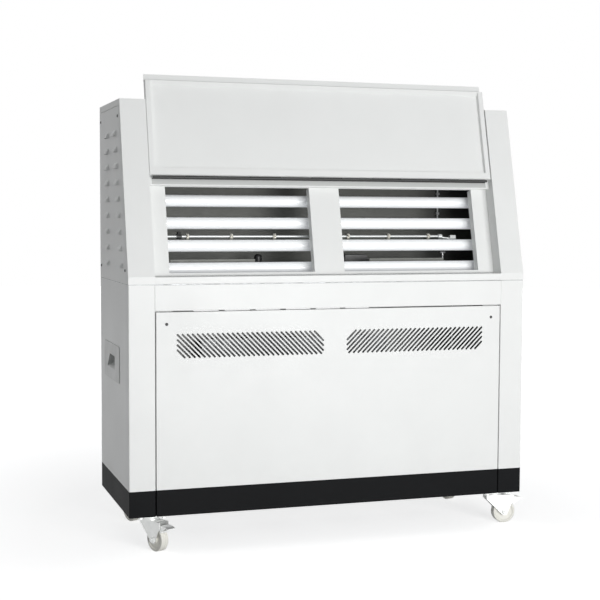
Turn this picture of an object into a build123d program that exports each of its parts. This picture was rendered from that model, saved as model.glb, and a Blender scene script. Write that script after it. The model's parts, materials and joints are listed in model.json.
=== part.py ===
from build123d import *
from math import atan2, cos, degrees, hypot, radians, sin, tan
import os

os.makedirs("parts", exist_ok=True)

# Weathering test chamber on casters, in millimetres.
# X runs to the right, Y to the back, Z up. The floor is Z = 0 and the origin lies on it,
# under the middle of the cabinet. The lid is built open, as it stands at rest.

# Cabinet
WIDTH = 1300.0
DEPTH = 500.0
CASTER_HEIGHT = 108.0
LOWER_HEIGHT = 700.0
UPPER_HEIGHT = 558.0
STRIP_HEIGHT = 22.0
SLOPE_RUN = 135.0
KICK_HEIGHT = 80.0
POST_WIDTH = 80.0
SHEET = 1.5
BEND = 2.2
SEAM = 3.4
FIT = 0.3

HALF = WIDTH / 2
FRONT = -DEPTH / 2
BACK = DEPTH / 2
BASE_Z = CASTER_HEIGHT
KICK_Z = BASE_Z + KICK_HEIGHT
JOINT_Z = BASE_Z + LOWER_HEIGHT
LOWER_TOP = JOINT_Z - SHEET
KINK_Z = JOINT_Z + STRIP_HEIGHT
TOP_Z = JOINT_Z + UPPER_HEIGHT
POST_IN = HALF - POST_WIDTH
SLOPE_ANGLE = atan2(SLOPE_RUN, TOP_Z - KINK_Z)
LEAN = tan(SLOPE_ANGLE)

# Front panel and its slots
FLANGE = 18.0
RETURN_DEPTH = 20.0
PANEL_TOP = JOINT_Z - 83.5
RAIL_BOTTOM = PANEL_TOP + SEAM
VENT_OFFSET = 271.0
VENT_WIDTH = 466.0
VENT_HEIGHT = 73.0
VENT_BOTTOM = PANEL_TOP - 139.0
SLOT_PITCH = 15.5
SLOT_WIDTH = 6.4
SLOT_SHIFT = -4.8
PANEL_SCREW_X = POST_IN - 35.0
PANEL_SCREW_Z = PANEL_TOP - 36.0

# Recess, windows and lid, measured along the slope and inward from it
RECESS = 50.0
WINDOW_LOW = 22.0
WINDOW_HIGH = 292.5
WINDOW_OUT = 514.0
WINDOW_IN = 50.0
WINDOW_RETURN = 28.0
WINDOW_TOP_RETURN = 6.0
RAIL_LOW = 288.5
PANEL_DEPTH = 27.0
HINGE_S = 312.0
HINGE_D = 13.5
KNUCKLE_R = 3.5
PIN_R = 1.5
LID_HALF = POST_IN - 2.0
LID_LOW = 316.6
LID_LIP_HIGH = 616.0
LID_HIGH = 641.0
LID_FACE = 4.0
LID_BACK = 25.0
LID_SHEET = 1.2
LIP_SIDE = 15.5
LIP_LOW = 22.0
PAN_DEPTH = 13.0
GRIP_RUN = 12.0
STOP_S = 540.0

# Chamber
LAMP_R = 18.5
LAMP_D = 120.0
LAMP_LOW = 50.0
LAMP_PITCH = 72.0
LAMP_COUNT = 4
LAMP_HALF = HALF - 62.0
CAP_LENGTH = 12.0
PIN_LENGTH = 7.0
CHAMBER_HALF = HALF - 14.0
CHAMBER_BACK = BACK - 140.0

# Casters
WHEEL_R = 37.5
WHEEL_HALF = 13.0
AXLE_R = 5.0
RUN_FIT = 0.06
TRAIL = 35.0
KING_R = 6.0
LEG_IN = 16.0
LEG = 3.0
PEDAL_TIP = 100.0
CASTER_SIDE = 74.0
CASTER_END = 48.0


def block(x, y, z):
    """Box between three (low, high) pairs."""
    size = [high - low for low, high in (x, y, z)]
    middle = [(low + high) / 2 for low, high in (x, y, z)]
    return Pos(*middle) * Box(*size)


def rod(start, end, radius):
    """Round bar from one point to another."""
    run = Vector(*end) - Vector(*start)
    place = Plane(origin=start, z_dir=run)
    bar = Cylinder(radius, run.length, align=(Align.CENTER, Align.CENTER, Align.MIN))
    return place * bar


def bent(points, length, side=Side.LEFT, sheet=SHEET):
    """Folded sheet: a polyline with bend radii, thickened to one side and extruded up."""
    line = FilletPolyline(*points, radius=BEND)
    outline = make_face(offset(line, amount=sheet, side=side))
    return extrude(outline, amount=length, dir=(0, 0, 1))


def across(solid, low):
    """Turns a profile drawn in Y and Z, extruded up, so that it runs along X from low."""
    return Pos(low, 0, 0) * (Plane.YZ.location * solid)


def plate_yz(points, x):
    """Flat polygon in Y and Z, as thick as the (low, high) pair in X."""
    outline = Polygon(*points, align=None)
    return across(extrude(outline, amount=x[1] - x[0], dir=(0, 0, 1)), x[0])


def plate_xz(points, y):
    """Flat polygon in X and Z, as thick as the (low, high) pair in Y."""
    outline = Polygon(*points, align=None)
    turned = Plane.XZ.location * extrude(outline, amount=y[1] - y[0], dir=(0, 0, 1))
    return Pos(0, y[1], 0) * turned


def on_slope(solid):
    """Moves a solid drawn with Y up the slope and Z out of it onto the sloped front."""
    return Location((0, FRONT, KINK_Z), (90 - degrees(SLOPE_ANGLE), 0, 0)) * solid


def slope_block(x, s, d):
    """Box on the sloped front: along X, up the slope, and inward from it."""
    return on_slope(block(x, s, (-d[1], -d[0])))


def slope_point(x, s, d):
    """Point on the sloped front as X, Y and Z."""
    y = FRONT + s * sin(SLOPE_ANGLE) + d * cos(SLOPE_ANGLE)
    z = KINK_Z + s * cos(SLOPE_ANGLE) - d * sin(SLOPE_ANGLE)
    return (x, y, z)


def slope_depth_at(z, d):
    """Y of the plane d behind the sloped front, at height z."""
    return FRONT + (z - KINK_Z) * LEAN + d / cos(SLOPE_ANGLE)


def mirrored(solid):
    """The same solid on the other side of the cabinet."""
    return mirror(solid, about=Plane.YZ)


def group(name, solids):
    """Several solids of one kind, kept apart in one node."""
    pieces = [piece for solid in solids for piece in solid.solids()]
    return Compound(label=name, children=pieces)


nodes = {}

# Base: a welded frame of square tube on a floor sheet
TUBE = 30.0
TUBE_WALL = 2.0
PAN_Z = BASE_Z + SHEET
frame_x = HALF - SHEET - FIT
frame_front = FRONT + RETURN_DEPTH + 2.0
frame_back = BACK - SHEET - FIT
frame_z = (PAN_Z, PAN_Z + TUBE)


def tube_loop(inset):
    """Closed loop of tube, or of its bore when inset is the wall."""
    grow = TUBE - inset
    outer = block((-frame_x + inset, frame_x - inset), (frame_front + inset, frame_back - inset),
                  (frame_z[0] + inset, frame_z[1] - inset))
    inner = block((-frame_x + grow, frame_x - grow), (frame_front + grow, frame_back - grow), frame_z)
    return outer - inner


base_frame = tube_loop(0.0) - tube_loop(TUBE_WALL)
for centre in (-(HALF - CASTER_SIDE - 70), HALF - CASTER_SIDE - 70):
    bar = block((centre - TUBE / 2, centre + TUBE / 2), (frame_front + TUBE, frame_back - TUBE), frame_z)
    base_frame += bar
nodes["base_frame"] = base_frame

caster_spots = [(sx * (HALF - CASTER_SIDE), sy * (BACK - CASTER_END)) for sy in (-1, 1) for sx in (-1, 1)]
floor_pan = block((-frame_x, frame_x), (frame_front, frame_back), (BASE_Z, PAN_Z))
for x in (-380, -130, 130, 380):
    floor_pan -= block((x - 60, x + 60), (-60, 60), (BASE_Z - 1, PAN_Z + 1))
nodes["floor_pan"] = floor_pan

# Black kick band: a wrap round the cabinet and a strip under the front panel
kick_line = [
    (-POST_IN, FRONT + RETURN_DEPTH), (-POST_IN, FRONT), (-HALF, FRONT), (-HALF, BACK),
    (HALF, BACK), (HALF, FRONT), (POST_IN, FRONT), (POST_IN, FRONT + RETURN_DEPTH),
]
kick = Pos(0, 0, BASE_Z) * bent(kick_line, KICK_HEIGHT, Side.RIGHT)
nodes["kick_surround"] = kick

panel_x = POST_IN - SEAM


def pan(x, z, depth):
    """Flat panel facing the front, folded back along all four edges."""
    outer = block(x, (FRONT, FRONT + depth), z)
    outer = fillet(outer.faces().sort_by(Axis.Y)[0].edges(), 1.2)
    inner = block((x[0] + SHEET, x[1] - SHEET), (FRONT + SHEET, FRONT + depth + 1), (z[0] + SHEET, z[1] - SHEET))
    return outer - inner


nodes["kick_front"] = pan((-panel_x, panel_x), (BASE_Z, KICK_Z - 0.4), FLANGE)

# Front posts and the rail between them
post_line = [
    (-HALF, FRONT + RETURN_DEPTH), (-HALF, FRONT), (-POST_IN, FRONT),
    (-POST_IN, FRONT + RETURN_DEPTH), (-POST_IN + 55, FRONT + RETURN_DEPTH),
]
post = Pos(0, 0, KICK_Z) * bent(post_line, LOWER_TOP - KICK_Z, Side.LEFT)
screw_hole = rod((-PANEL_SCREW_X, FRONT - 5, PANEL_SCREW_Z), (-PANEL_SCREW_X, FRONT + 60, PANEL_SCREW_Z), 2.6)
post -= screw_hole
nodes["front_post_left"] = post
nodes["front_post_right"] = mirrored(post)

rail_line = [
    (FRONT + FLANGE, RAIL_BOTTOM), (FRONT, RAIL_BOTTOM),
    (FRONT, LOWER_TOP), (FRONT + FLANGE, LOWER_TOP),
]
nodes["front_rail"] = across(bent(rail_line, 2 * POST_IN, Side.RIGHT), -POST_IN)


# Front panel: two fields of diagonal slots, each slot clipped to the outline of its field
def slot_field():
    """Outlines of the slots that fall to the right, from the lower left corner of the field."""
    outlines = []
    reach = int((VENT_WIDTH + VENT_HEIGHT - SLOT_SHIFT) / SLOT_PITCH) + 1
    for number in range(reach):
        start = SLOT_SHIFT - VENT_HEIGHT + number * SLOT_PITCH
        first = max(0.0, -start)
        last = min(VENT_HEIGHT, VENT_WIDTH - start)
        length = (last - first) * 2 ** 0.5
        if length < 2 * SLOT_PITCH:
            continue
        middle = (first + last) / 2
        slot = SlotOverall(length, SLOT_WIDTH, rotation=-45)
        outlines.append(Pos(start + middle, VENT_HEIGHT - middle) * slot)
    return outlines


field = Sketch() + slot_field()
cutter = Plane.XZ.location * extrude(field, amount=10)
left_cut = Pos(-VENT_OFFSET - VENT_WIDTH / 2, FRONT + 5, VENT_BOTTOM) * cutter
front_panel = pan((-panel_x, panel_x), (KICK_Z + 0.4, PANEL_TOP), FLANGE)
front_panel -= left_cut
front_panel -= mirrored(left_cut)
front_panel -= screw_hole
front_panel -= mirrored(screw_hole)
nodes["front_panel"] = front_panel


# Screws: pan heads with a cross recess, for the front panel and the side covers
def screw(point, out, length=14.0):
    """Pan-head screw with its head's underside at the point and its head facing out."""
    head = Cylinder(4.6, 2.4, align=(Align.CENTER, Align.CENTER, Align.MIN))
    head = fillet(head.edges().sort_by(Axis.Z)[-1], 1.6)
    recess = Box(4.6, 1.0, 1.4, align=(Align.CENTER, Align.CENTER, Align.MAX))
    recess += Box(1.0, 4.6, 1.4, align=(Align.CENTER, Align.CENTER, Align.MAX))
    shank = Cylinder(2.5, length, align=(Align.CENTER, Align.CENTER, Align.MAX))
    whole = head - Pos(0, 0, 2.5) * recess + shank
    return Plane(origin=point, z_dir=out) * whole


SCREW_INSET = 23.0
high_screw = TOP_Z - RETURN_DEPTH - SCREW_INSET - 8
low_screw = JOINT_Z + SCREW_INSET + 17
cover_screws = [
    (slope_depth_at(high_screw, RETURN_DEPTH + SCREW_INSET), high_screw), (BACK - SCREW_INSET, high_screw),
    (FRONT + RETURN_DEPTH + SCREW_INSET + 7, low_screw), (BACK - SCREW_INSET, low_screw),
]
screws = [screw((sx * PANEL_SCREW_X, FRONT, PANEL_SCREW_Z), (0, -1, 0), 24.0) for sx in (-1, 1)]
screws += [screw((sx * HALF, y, z), (sx, 0, 0), 8.0) for sx in (-1, 1) for y, z in cover_screws]
nodes["screws"] = group("screws", screws)

# Lower side panels with a recessed grip
CUP_Y = 35.0
CUP_Z = BASE_Z + 443.0
CUP_FRONT = 55.0
CUP_REAR_TOP = 31.0
CUP_REAR_LOW = 76.0
CUP_HEIGHT = 42.0
CUP_DEPTH = 38.0
CUP_RAMP = 27.0
CUP_PLATE = (267.0, 115.0)
CUP_WALL = 2.0
side_front = FRONT + RETURN_DEPTH + 1.0
side_line = [(-HALF, side_front), (-HALF, BACK), (-HALF + RETURN_DEPTH, BACK)]
side = Pos(0, 0, KICK_Z) * bent(side_line, LOWER_TOP - KICK_Z, Side.RIGHT)


def cup_prism(wall, x):
    """Grip mouth with its slanted rear edge, grown by the wall, between two depths in X."""
    low, high = -CUP_HEIGHT / 2 - wall, CUP_HEIGHT / 2 + wall
    mouth = [(-CUP_FRONT - wall, low), (CUP_REAR_LOW + 2 * wall, low), (CUP_REAR_TOP + 2 * wall, high),
             (-CUP_FRONT - wall, high)]
    return Pos(0, CUP_Y, CUP_Z) * plate_yz(mouth, x)


side -= cup_prism(CUP_WALL, (-HALF - 1, -HALF + 5))
nodes["side_panel_left"] = side
nodes["side_panel_right"] = mirrored(side)


def grip_cup():
    """Moulded grip for the left side: a plate with a cup behind a slanted mouth."""
    plate = Box(2.0, CUP_PLATE[0], CUP_PLATE[1], align=(Align.MAX, Align.CENTER, Align.CENTER))
    plate = Pos(-HALF, CUP_Y, CUP_Z) * fillet(plate.edges().filter_by(Axis.X), 8.0)
    hollow = cup_prism(0.0, (-HALF - 3, -HALF + CUP_DEPTH - CUP_WALL))
    low = CUP_Z - CUP_HEIGHT / 2
    wedge = [(-HALF - 2, low - CUP_WALL), (-HALF + CUP_DEPTH, low - CUP_WALL), (-HALF + CUP_DEPTH, low + CUP_RAMP),
             (-HALF + CUP_DEPTH - CUP_WALL, low + CUP_RAMP), (-HALF - 2, low)]
    ramp = plate_xz(wedge, (CUP_Y - CUP_FRONT - CUP_WALL, CUP_Y + CUP_REAR_LOW))
    cup = cup_prism(CUP_WALL, (-HALF, -HALF + CUP_DEPTH))
    return plate + cup - hollow + (ramp & cup)


cup = grip_cup()
nodes["grip_cups"] = group("grip_cups", [cup, mirrored(cup)])

# Rear panels, with louvre slots, a cable gland and two water stubs
GLAND_AT = (-420.0, BASE_Z + 160.0)
INLET_AT = (420.0, BASE_Z + 190.0)
DRAIN_AT = (480.0, BASE_Z + 120.0)
rear_x = HALF - RETURN_DEPTH - 1.0
rear = block((-rear_x, rear_x), (BACK - SHEET, BACK), (KICK_Z + 0.4, LOWER_TOP - 0.4))
rear_slots = [Pos(x, z) * SlotOverall(90, 5) for x in (-260, -150, -40, 70, 180, 290)
              for z in [JOINT_Z - 90 - 14 * row for row in range(8)]]
rear -= Pos(0, BACK + 5, 0) * (Plane.XZ.location * extrude(Sketch() + rear_slots, amount=10))
rear -= rod((GLAND_AT[0], BACK - 10, GLAND_AT[1]), (GLAND_AT[0], BACK + 10, GLAND_AT[1]), 10.2)
rear -= rod((INLET_AT[0], BACK - 10, INLET_AT[1]), (INLET_AT[0], BACK + 10, INLET_AT[1]), 10.5)
rear -= rod((DRAIN_AT[0], BACK - 10, DRAIN_AT[1]), (DRAIN_AT[0], BACK + 10, DRAIN_AT[1]), 10.5)
nodes["rear_panel_lower"] = rear
nodes["rear_panel_upper"] = block((-rear_x, rear_x), (BACK - SHEET, BACK), (JOINT_Z + 0.4, TOP_Z - RETURN_DEPTH - 1))


def hexagon(point, out, across_flats, length):
    """Hexagonal nut or body that starts at the point and runs outward."""
    flats = extrude(RegularPolygon(across_flats / 2, 6, major_radius=False), amount=length)
    return Plane(origin=point, z_dir=out) * flats


CABLE_R = 5.2
gland_point = (GLAND_AT[0], BACK, GLAND_AT[1])
gland = hexagon(gland_point, (0, 1, 0), 27.0, 9.0)
gland += rod((GLAND_AT[0], BACK - 12, GLAND_AT[1]), (GLAND_AT[0], BACK + 12, GLAND_AT[1]), 10.0)
dome = rod((GLAND_AT[0], BACK + 9, GLAND_AT[1]), (GLAND_AT[0], BACK + 34, GLAND_AT[1]), 12.0)
gland += fillet(dome.edges().sort_by(Axis.Y)[-1], 5.0)
gland += hexagon((GLAND_AT[0], BACK - SHEET - 6, GLAND_AT[1]), (0, 1, 0), 27.0, 6.0)
gland -= rod((GLAND_AT[0], BACK - 20, GLAND_AT[1]), (GLAND_AT[0], BACK + 40, GLAND_AT[1]), CABLE_R)
nodes["cable_gland"] = gland


STUB_R = 8.0
STUB_BORE = 5.5
STUB_OUT = 38.0


def stub(spot):
    """Hose stub through the rear panel, with a hexagon outside and a nut inside."""
    x, z = spot
    body = rod((x, BACK - 16, z), (x, BACK + 12, z), 10.2)
    body += rod((x, BACK + 12, z), (x, BACK + STUB_OUT, z), STUB_R)
    body += hexagon((x, BACK, z), (0, 1, 0), 28.0, 8.0)
    body += hexagon((x, BACK - SHEET - 6, z), (0, 1, 0), 28.0, 6.0)
    return body - rod((x, BACK - 20, z), (x, BACK + 50, z), STUB_BORE)


nodes["water_stubs"] = group("water_stubs", [stub(INLET_AT), stub(DRAIN_AT)])

# Deck between the two halves, with a hole for the sump of the water pan
deck = block((-HALF + 1, HALF - 1), (FRONT + 1, BACK - 1), (LOWER_TOP, JOINT_Z))
deck -= block((300, 380), (-20, 60), (JOINT_Z - 2, JOINT_Z + 5))
nodes["deck"] = deck

# Columns of the upper half: a folded front face with a deep inner wall and a short outer one
COLUMN_TOP = TOP_Z - SHEET
wall_depth = RECESS + SHEET


def slope_strip(depth, bottom):
    """Outline in Y and Z of a wall that follows the front to a given depth."""
    top_y = slope_depth_at(COLUMN_TOP, 0)
    return [
        (FRONT, bottom), (FRONT, KINK_Z), (top_y, COLUMN_TOP),
        (slope_depth_at(COLUMN_TOP, depth), COLUMN_TOP), (slope_depth_at(KINK_Z, depth), KINK_Z),
        (slope_depth_at(KINK_Z, depth), bottom),
    ]


web_line = [(FRONT, JOINT_Z), (FRONT, KINK_Z), (slope_depth_at(COLUMN_TOP, 0), COLUMN_TOP)]
column = across(bent(web_line, POST_WIDTH, Side.RIGHT), -HALF)
column += plate_yz(slope_strip(wall_depth, JOINT_Z), (-POST_IN - SHEET, -POST_IN))
column += plate_yz(slope_strip(RETURN_DEPTH, JOINT_Z), (-HALF, -HALF + SHEET))
column &= block((-HALF, -POST_IN), (FRONT, BACK), (JOINT_Z, COLUMN_TOP))
nodes["column_left"] = column
nodes["column_right"] = mirrored(column)

# Sill between the columns
ledge_back = slope_depth_at(KINK_Z, RECESS)
sill_line = [(FRONT + FLANGE, JOINT_Z), (FRONT, JOINT_Z), (FRONT, KINK_Z), (ledge_back, KINK_Z)]
nodes["front_sill"] = across(bent(sill_line, 2 * POST_IN, Side.RIGHT), -POST_IN)

# Window frame: one plate with two openings, each folded inward along its edges
frame_low = (RECESS * sin(SLOPE_ANGLE)) / cos(SLOPE_ANGLE) + 0.6
frame_d = (RECESS, RECESS + SHEET)
window_frame = slope_block((-POST_IN + FIT, POST_IN - FIT), (frame_low, RAIL_LOW + 30), frame_d)
for sx in (-1, 1):
    low_x, high_x = sorted((sx * WINDOW_IN, sx * WINDOW_OUT))
    outer = (low_x - SHEET, high_x + SHEET)
    collar_d = (RECESS, RECESS + WINDOW_RETURN)
    window_frame += slope_block(outer, (WINDOW_LOW - SHEET, WINDOW_HIGH + SHEET), collar_d)
for sx in (-1, 1):
    low_x, high_x = sorted((sx * WINDOW_IN, sx * WINDOW_OUT))
    hole_d = (RECESS - 5, RECESS + WINDOW_RETURN + 5)
    window_frame -= slope_block((low_x, high_x), (WINDOW_LOW, WINDOW_HIGH), hole_d)
    above_d = (RECESS + WINDOW_TOP_RETURN, RECESS + WINDOW_RETURN + 5)
    window_frame -= slope_block((low_x - SHEET - 1, high_x + SHEET + 1), (WINDOW_HIGH, WINDOW_HIGH + 5), above_d)
nodes["window_frame"] = window_frame

# Upper front panel behind the open lid, its lower edge folded in to the window frame
panel_top_s = (COLUMN_TOP - 1.0 - KINK_Z + PANEL_DEPTH * sin(SLOPE_ANGLE)) / cos(SLOPE_ANGLE)
shelf_rise = (RECESS - 0.5 - PANEL_DEPTH) * LEAN
rail_fold = [(RAIL_LOW + shelf_rise, -(RECESS - 0.5)), (RAIL_LOW, -PANEL_DEPTH), (panel_top_s, -PANEL_DEPTH)]
upper_panel = on_slope(across(bent(rail_fold, 2 * POST_IN, Side.RIGHT), -POST_IN))
for x in (-450, 450):
    dimple = rod(slope_point(x, STOP_S, PANEL_DEPTH + 0.5), slope_point(x, STOP_S, LID_BACK + FIT), 7)
    upper_panel += dimple
nodes["upper_front_panel"] = upper_panel

# Top cover, notched at the front so that the lid can stand in the recess
notch_y = slope_depth_at(TOP_Z, PANEL_DEPTH + SHEET + 0.5)
cover_front = slope_depth_at(TOP_Z, 0) + 0.6
top_cover = block((-HALF, HALF), (cover_front, BACK), (TOP_Z - SHEET, TOP_Z))
top_cover -= block((-POST_IN, POST_IN), (cover_front - 1, notch_y), (TOP_Z - 5, TOP_Z + 5))
flange_z = (TOP_Z - RETURN_DEPTH, TOP_Z)
side_flange_front = slope_depth_at(TOP_Z, RETURN_DEPTH) + 1.0
for sx in (-1, 1):
    low_x, high_x = sorted((sx * (HALF - SHEET), sx * HALF))
    top_cover += block((low_x, high_x), (side_flange_front, BACK), flange_z)
top_cover += block((-HALF, HALF), (BACK - SHEET, BACK), flange_z)
nodes["top_cover"] = top_cover

# Louvred side covers: two columns of nine hoods, the front column following the slope
LOUVRE_LENGTH = 56.0
LOUVRE_OUT = 8.0
LOUVRE_RISE = 13.0
LOUVRE_DROP = 3.0
LOUVRE_WALL = 1.2
LOUVRE_ROWS = 9
LOUVRE_PITCH = 50.5
LOUVRE_FIRST = JOINT_Z + 48.5
LOUVRE_FRONT = 113.0
LOUVRE_REAR = BACK - 142.0
cover_inset = RETURN_DEPTH + 2.5
cover_low = JOINT_Z
cover_high = TOP_Z - RETURN_DEPTH - 1.0


def hood(grow):
    """Wedge of one louvre hood, or of its hollow when grow is negative."""
    points = [(2.0, -LOUVRE_DROP), (-LOUVRE_OUT - grow, -LOUVRE_DROP), (-LOUVRE_OUT - grow, 0.0), (-2.0, LOUVRE_RISE + grow),
              (2.0, LOUVRE_RISE + grow)]
    return extrude(Polygon(*points, align=None), amount=LOUVRE_LENGTH + 2 * grow, dir=(0, 0, 1))


def louvre_solid(y, z):
    """Closed hood on the left cover, centred at y and z; the hollow is taken out of it later."""
    return Pos(-HALF, y + LOUVRE_LENGTH / 2, z) * (Plane.XZ.location * hood(0.0))


def louvre_hollow(y, z):
    """Hollow of the hood, open downward, which also cuts the sheet behind it."""
    hollow = Plane.XZ.location * hood(-LOUVRE_WALL)
    return Pos(-HALF, y + LOUVRE_LENGTH / 2 - LOUVRE_WALL, z - 0.1) * hollow


def louvre_spots(rows):
    """Centres of the hoods in the given rows."""
    spots = []
    for row in rows:
        z = LOUVRE_FIRST + row * LOUVRE_PITCH
        spots.append((FRONT + (z - KINK_Z) * LEAN + LOUVRE_FRONT, z))
        spots.append((LOUVRE_REAR, z))
    return spots


def side_cover(rows):
    """Left cover with hoods in the given rows."""
    cover_outline = [
        (FRONT + cover_inset, cover_low), (FRONT + cover_inset, KINK_Z),
        (slope_depth_at(cover_high, cover_inset), cover_high), (BACK, cover_high), (BACK, cover_low),
    ]
    cover = plate_yz(cover_outline, (-HALF, -HALF + SHEET))
    cover += block((-HALF, -HALF + RETURN_DEPTH), (BACK - SHEET, BACK), (cover_low, cover_high))
    spots = louvre_spots(rows)
    for y, z in spots:
        cover += louvre_solid(y, z)
    for y, z in spots:
        cover -= louvre_hollow(y, z)
    for y, z in cover_screws:
        cover -= rod((-HALF - 5, y, z), (-HALF + 5, y, z), 2.6)
    return cover & block((-HALF - 50, -HALF + RETURN_DEPTH), (FRONT, BACK), (cover_low, cover_high))


nodes["side_cover_left"] = side_cover(range(LOUVRE_ROWS))
nodes["side_cover_right"] = mirrored(side_cover(range(3)))

# Lid hinge: a long hinge with knuckles that alternate between the fixed and the moving leaf
KNUCKLES = 11
KNUCKLE_GAP = 0.6
knuckle_length = (2 * (LID_HALF - 10)) / KNUCKLES


def knuckle(number):
    """One knuckle tube, counted from the left."""
    low = -(LID_HALF - 10) + number * knuckle_length + KNUCKLE_GAP / 2
    high = low + knuckle_length - KNUCKLE_GAP
    return rod(slope_point(low, HINGE_S, HINGE_D), slope_point(high, HINGE_S, HINGE_D), KNUCKLE_R)


def leaf_blocks(number, s, d):
    """Part of a leaf as long as one knuckle."""
    low = -(LID_HALF - 10) + number * knuckle_length + KNUCKLE_GAP / 2
    return slope_block((low, low + knuckle_length - KNUCKLE_GAP), s, d)


pin_run = LID_HALF - 8
bore = rod(slope_point(-pin_run - 5, HINGE_S, HINGE_D), slope_point(pin_run + 5, HINGE_S, HINGE_D), PIN_R + RUN_FIT)
web_half = 0.75
leaf_face = (PANEL_DEPTH - SHEET, PANEL_DEPTH)
leaf_x = (-LID_HALF + 10, LID_HALF - 10)
fixed_leaf = slope_block(leaf_x, (RAIL_LOW + 5, HINGE_S + web_half), leaf_face)
fixed_leaf += slope_block(leaf_x, (HINGE_S - web_half, HINGE_S + web_half), (21.0, PANEL_DEPTH))
for number in range(0, KNUCKLES, 2):
    fixed_leaf += knuckle(number)
    fixed_leaf += leaf_blocks(number, (HINGE_S - web_half, HINGE_S + web_half), (HINGE_D, 22.0))
tight_bore = rod(slope_point(-pin_run - 5, HINGE_S, HINGE_D), slope_point(pin_run + 5, HINGE_S, HINGE_D), PIN_R)
nodes["hinge_leaf_fixed"] = fixed_leaf - tight_bore

moving_s = (LID_LOW - 1.6, LID_LOW)
moving_leaf = slope_block(leaf_x, moving_s, (18.0, LID_BACK - 1.0))
for number in range(1, KNUCKLES, 2):
    moving_leaf += knuckle(number)
    moving_leaf += leaf_blocks(number, moving_s, (HINGE_D - 1.5, 18.5))
nodes["hinge_leaf_lid"] = moving_leaf - bore
nodes["hinge_pin"] = rod(slope_point(-pin_run, HINGE_S, HINGE_D), slope_point(pin_run, HINGE_S, HINGE_D), PIN_R)

# Lid: an outer skin with side walls and a grip hem, and an inner liner pressed into it
skin = slope_block((-LID_HALF, LID_HALF), (LID_LOW, LID_HIGH), (LID_BACK - LID_SHEET, LID_BACK))
skin += slope_block((-LID_HALF, LID_HALF), (LID_LOW, LID_LOW + LID_SHEET), (LID_FACE, LID_BACK))
for sx in (-1, 1):
    low_x, high_x = sorted((sx * (LID_HALF - LID_SHEET), sx * LID_HALF))
    skin += slope_block((low_x, high_x), (LID_LOW, LID_LIP_HIGH), (LID_FACE, LID_BACK))
nodes["lid_skin"] = skin

liner_x = LID_HALF - LID_SHEET - FIT
liner_s = (LID_LOW + LID_SHEET + FIT, LID_LIP_HIGH)
liner_back = LID_BACK - LID_SHEET - FIT
liner = slope_block((-liner_x, liner_x), liner_s, (LID_FACE, liner_back))
well_x = liner_x - LIP_SIDE + LID_SHEET
well_low = LID_LOW + LIP_LOW
well_floor = LID_FACE + PAN_DEPTH
well_outline = [(well_low, -well_floor), (liner_s[1] - GRIP_RUN, -well_floor), (liner_s[1] + 1.0, -LID_FACE + 1.0),
                (well_low, -LID_FACE + 1.0)]
well = across(extrude(Polygon(*well_outline, align=None), amount=2 * well_x, dir=(0, 0, 1)), -well_x)
liner -= on_slope(well)
behind = [(liner_s[0] + LID_SHEET, -liner_back - 1), (liner_s[1] - LID_SHEET, -liner_back - 1),
          (liner_s[1] - LID_SHEET, -LID_FACE - 3.5), (liner_s[1] - GRIP_RUN - 1.0, -well_floor - LID_SHEET),
          (well_low - LID_SHEET, -well_floor - LID_SHEET), (well_low - LID_SHEET, -LID_FACE - LID_SHEET),
          (liner_s[0] + LID_SHEET, -LID_FACE - LID_SHEET)]
back_x = liner_x - LID_SHEET
liner -= on_slope(across(extrude(Polygon(*behind, align=None), amount=2 * back_x, dir=(0, 0, 1)), -back_x))
for sx in (-1, 1):
    side_x = sorted((sx * (well_x + LID_SHEET), sx * back_x))
    liner -= slope_block(side_x, (liner_s[0] + LID_SHEET, liner_s[1] - LID_SHEET), (LID_FACE + LID_SHEET, LID_BACK))
nodes["lid_liner"] = liner

# Chamber liner: top, back and end walls of thin stainless sheet round the lamps
LINER_SHEET = 1.0
liner_top = slope_point(0, RAIL_LOW + 28, RECESS + SHEET + 0.5)
chamber_top = liner_top[2] + 12.0
liner_floor = JOINT_Z
wall_line = [
    (liner_top[1], liner_top[2]), (CHAMBER_BACK, chamber_top), (CHAMBER_BACK, liner_floor + 0.3),
]
chamber = across(bent(wall_line, 2 * CHAMBER_HALF, Side.RIGHT, LINER_SHEET), -CHAMBER_HALF)
chamber_side = [
    (slope_depth_at(liner_floor, RECESS + 4), liner_floor + 0.3), (liner_top[1], liner_top[2]),
    (CHAMBER_BACK, chamber_top), (CHAMBER_BACK, liner_floor + 0.3),
]
for sx in (-1, 1):
    low_x, high_x = sorted((sx * (CHAMBER_HALF - LINER_SHEET), sx * CHAMBER_HALF))
    chamber += plate_yz(chamber_side, (low_x, high_x))
nodes["chamber_liner"] = chamber

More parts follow.
